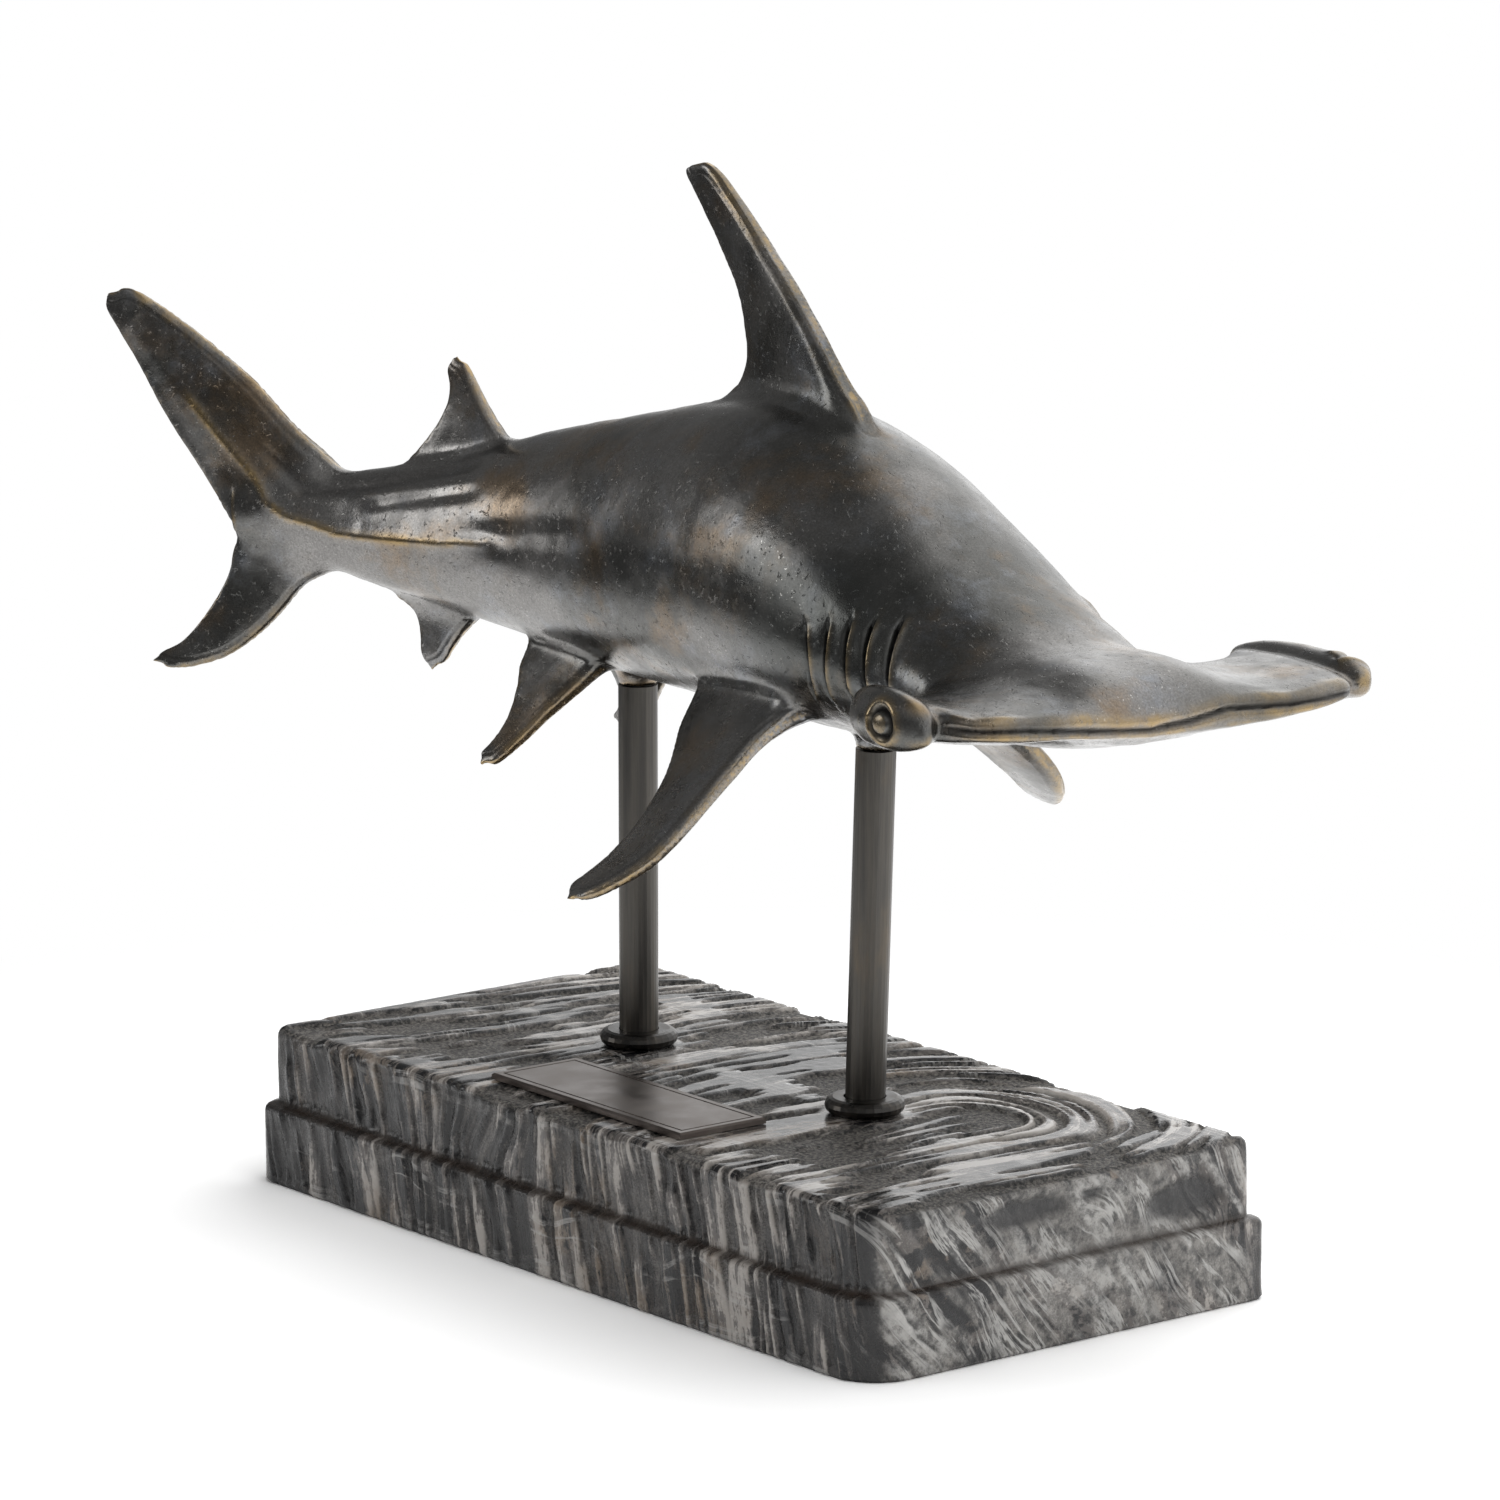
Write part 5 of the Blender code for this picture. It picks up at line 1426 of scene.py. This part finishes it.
def stone_material():
    """Black and grey layered stone, polished on the lands and rough in the hollows, with paler ends,
    painted shade in the furrows and a painted shadow in the step's groove.
    """
    made, shader, g = material("carved_stone_fine", 0.0)
    _, north, up = g.parts(g.place)
    layers = g.joined(g.attribute("layer") * 0.001, north * 0.12, up * 0.12)
    slants = g.joined(g.attribute("slant") * 0.001, north * 0.25, up * 0.25)
    hollow = g.attribute("hollow")
    furrow = g.attribute("furrow")
    end_face = g.attribute("end_face")
    beside = 1.0 - g.attribute("on_top")
    thin = g.noise(520.0, 4.0, 0.65, layers, 0.5)
    mottled = g.noise(150.0, 9.0, 0.75)
    value = g.attribute("tone") + (g.noise(150.0, 5.0, 0.65, layers, 0.3) - 0.5) * 3.2
    value = value + (thin - 0.5) * 1.9 + (mottled - 0.5) * 1.7
    value = value + (g.noise(58.0, 4.0, 0.55, layers, 0.4) - 0.5) * 2.6
    colour = g.mix(g.ramp(value, 0.36, 0.60), (0.007, 0.007, 0.008), (0.125, 0.113, 0.105))
    colour = g.mix(g.ramp(value, 0.76, 1.04), colour, (0.42, 0.39, 0.36))
    tan = g.ramp(g.noise(24.0, 4.0), 0.52, 0.66) * g.ramp(value, 0.3, 0.7)
    colour = g.mix(tan * 0.6, colour, (0.235, 0.175, 0.120))
    patch = g.ramp(g.noise(38.0, 6.0, 0.6, slants, 0.9), 0.42, 0.53)
    pale = g.mix(g.ramp(mottled, 0.34, 0.62), (0.030, 0.029, 0.028), (0.30, 0.285, 0.265))
    colour = g.mix(end_face * patch, colour, pale)
    slanted = g.ramp(g.noise(70.0, 5.0, 0.6, slants, 0.6), 0.50, 0.66) * end_face
    colour = g.mix(slanted * g.ramp(mottled, 0.40, 0.60, 0.2, 0.9), colour, (0.50, 0.49, 0.47))
    crack = g.math("ABSOLUTE", g.noise(26.0, 6.0, 0.65, slants, 1.4) - 0.5)
    crack = g.ramp(crack, 0.030, 0.004) * g.ramp(g.noise(34.0, 4.0), 0.40, 0.58)
    colour = g.mix(crack * (end_face * 0.5 + 0.45), colour, (0.52, 0.51, 0.49))
    # Painted shade: the long sides' furrows and the ends' ribs darkened to near black, standing in for
    # their depth
    dark = g.ramp(furrow, 0.10, 0.62) * g.ramp(g.noise(1300.0, 4.0, 0.65), 0.30, 0.70, 0.62, 0.97)
    colour = g.mix(dark, colour, (0.014, 0.013, 0.013))
    colour = g.mix(g.attribute("pit") * 0.9, colour, (0.012, 0.012, 0.013))
    sugary = g.ramp(g.noise(600.0, 6.0, 0.75), 0.42, 0.62)
    colour = g.mix(hollow * 0.92, colour, g.mix(sugary, (0.010, 0.010, 0.010), (0.20, 0.185, 0.165)))
    # Painted shadow: a dark brown line in the groove of the step
    painted_step_shadow = g.attribute("painted_step_shadow") * g.ramp(mottled, 0.35, 0.60, 0.3, 0.9)
    colour = g.mix(painted_step_shadow, colour, (0.030, 0.020, 0.014))
    rough = g.ramp(g.larger(hollow, furrow * 0.12), 0.02, 0.55, 0.10, 0.55)
    rough = rough + beside * g.ramp(mottled, 0.3, 0.7, 0.02, 0.25)
    rubble = g.larger(hollow, end_face * 0.35) * g.noise(420.0, 5.0, 0.7)
    normal = g.bump(rubble, 0.0012, 0.9)
    normal = g.bump(beside * thin, 0.0009, 0.6, normal)
    normal = g.bump(mottled, 0.0003, 0.35, normal)
    finish_shader(g, shader, colour, rough, normal)
    return made


# Plaque


def frame_ring(length, width, z):
    return [(sx * length / 2, sy * width / 2, z) for sx, sy in ((-1, -1), (1, -1), (1, 1), (-1, 1))]


def fine_plaque():
    """The plate with a chamfered rim and a fine sunk border."""
    top = PLAQUE_THICKNESS
    sunk = top - BORDER_DEPTH
    inner = BORDER_INSET + BORDER_WIDTH
    steep = 0.0001
    steps = (
        (0.0, 0.0),
        (0.0, top - PLAQUE_CHAMFER),
        (PLAQUE_CHAMFER, top),
        (BORDER_INSET, top),
        (BORDER_INSET + steep, sunk),
        (inner, sunk),
        (inner + steep, top),
    )
    points = []
    faces = []
    for shrink, z in steps:
        points += frame_ring(PLAQUE_LENGTH - 2 * shrink, PLAQUE_WIDTH - 2 * shrink, z)
    for i in range(len(steps) - 1):
        for j in range(4):
            k = (j + 1) % 4
            faces.append((i * 4 + j, i * 4 + k, (i + 1) * 4 + k, (i + 1) * 4 + j))
    faces.append((3, 2, 1, 0))
    last = (len(steps) - 1) * 4
    faces.append((last, last + 1, last + 2, last + 3))
    plate = mesh_from("bare_plaque", points, faces)
    plate.location = (*PLAQUE_PLACE, BASE_HEIGHT + GAP)
    plate.rotation_euler = (0.0, 0.0, math.radians(PLAQUE_TURN))
    return plate


# Studio


def camera():
    data = bpy.data.cameras.new("camera")
    data.lens = CAMERA_LENS
    data.sensor_width = 36.0
    data.clip_end = 50.0
    eye = put_in_scene("camera", data)
    eye.location = CAMERA_PLACE
    eye.rotation_euler = Vector(CAMERA_LOOKS).to_track_quat("-Z", "Y").to_euler()
    bpy.context.scene.camera = eye


def floor():
    """A white floor. Seen by the camera it turns to plain white away from the object, past its shadow."""
    half = 14.0
    corners = [(-half, -half, 0), (half, -half, 0), (half, half, 0), (-half, half, 0)]
    plane = mesh_from("floor", corners, [(0, 1, 2, 3)])
    made, shader, g = material("floor_white", 0.0)
    shader.inputs["Roughness"].default_value = 1.0
    shader.inputs["Specular IOR Level"].default_value = 0.0
    by_camera = g.ray("Camera")
    seen = g.larger(g.larger(by_camera, g.ray("Transmission")), g.ray("Glossy"))
    east, north, _ = g.parts(g.place)
    distance = g.math("SQRT", east * east + north * north)
    side = east * WALL_FACES[0] + north * WALL_FACES[1]
    # Painted light: to every ray but the camera's, the floor is pale near the object and towards the
    # bright wall and dark grey further off, a painted pool of light
    lit = g.larger(g.ramp(side, -0.1, 0.4), g.ramp(distance, 1.05, 0.50))
    pale = g.mix(seen, (0.80, 0.80, 0.80), (1.30, 1.30, 1.30))
    dim = g.mix(lit, (0.16, 0.16, 0.16), pale)
    g.plug(shader.inputs["Base Color"], g.mix(by_camera, dim, (1.22, 1.22, 1.22)))
    white = g.value("ShaderNodeEmission", "Emission", {"Color": (1.0, 1.0, 1.0), "Strength": 1.0})
    far = g.ramp(distance, 0.30, 0.60) * by_camera
    plain = Value(g, shader.outputs["BSDF"])
    blend = g.value("ShaderNodeMixShader", "Shader", {0: far, 1: plain, 2: white})
    g.plug(made.node_tree.nodes["Material Output"].inputs["Surface"], blend)
    plane.data.materials.append(made)


def sky():
    """A studio whose bright walls stand behind and to the right, dark on the left, with a softer top."""
    world = bpy.data.worlds.new("studio")
    bpy.context.scene.world = world
    world.use_nodes = True
    background = world.node_tree.nodes["Background"]
    g = Graph(world.node_tree, "Generated")
    east, north, up = g.parts(g.place)

    def toward(x, y, z=0.0):
        return east * x + north * y + up * z

    wall = g.ramp(toward(*WALL_FACES), 0.05, 0.32)
    behind = toward(*BEHIND)
    height = up + g.larger(behind, 0.0) * 0.25
    bright = wall * (behind * 0.35 + 1.0) * g.ramp(height, 0.90, 1.14, 1.0, 0.36)
    soft = g.ramp(toward(*FRONT_SOFT_LIGHT), 0.78, 0.97) * 0.30
    panel = g.ramp(toward(*LEFT_PANEL), 0.962, 0.988) * 2.8
    level = bright + soft + panel + DARK_WALL
    seen = g.larger(g.ray("Camera"), g.ray("Transmission"))
    g.plug(background.inputs["Color"], g.mix(seen, g.joined(level, level, level), (1.0, 1.0, 1.0)))
    background.inputs["Strength"].default_value = 1.0


def overhead_lamp():
    """A soft square light above, which casts the shadow and isn't mirrored in the metal."""
    data = bpy.data.lights.new("overhead", "AREA")
    data.shape = "RECTANGLE"
    data.size = LAMP_SIZE
    data.size_y = LAMP_SIZE
    data.energy = LAMP_POWER
    thing = put_in_scene("overhead", data)
    thing.location = LAMP_PLACE
    thing.rotation_euler = (-Vector(LAMP_PLACE)).to_track_quat("-Z", "Y").to_euler()
    thing.visible_glossy = False


def dress(thing, made):
    thing.data.materials.clear()
    thing.data.materials.append(made)


def stand_for(piece, slot, *nodes):
    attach(piece, "root")
    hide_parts(*nodes)


def main():
    shark, fin_edges = fused_casting()
    detail_casting(shark, fin_edges)
    shade_smooth(shark)
    dress(shark, bronze())
    stand_for(shark, "patinated_bronze", "shark")

    stone = stone_skin()
    carve(stone)
    stone = bore_stone(stone)
    shade_smooth(stone)
    dress(stone, stone_material())
    stand_for(stone, "carved_stone", "stone_base")

    plate = fine_plaque()
    dress(plate, stained_metal("dark_plaque"))
    stand_for(plate, "dark_plaque", "plaque")

    post_metal = brushed_post()
    ring_metal = stained_metal("blackened_collar")
    steel = stained_metal("zinc_steel")
    for node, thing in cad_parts.items():
        if node.endswith("_post"):
            dress(thing, post_metal)
        elif node.endswith("_collar"):
            dress(thing, ring_metal)
        elif node.endswith(("_stud", "_washer", "_nut")):
            dress(thing, steel)

    camera()
    floor()
    sky()
    overhead_lamp()
    bpy.context.scene.view_settings.view_transform = "Standard"


main()
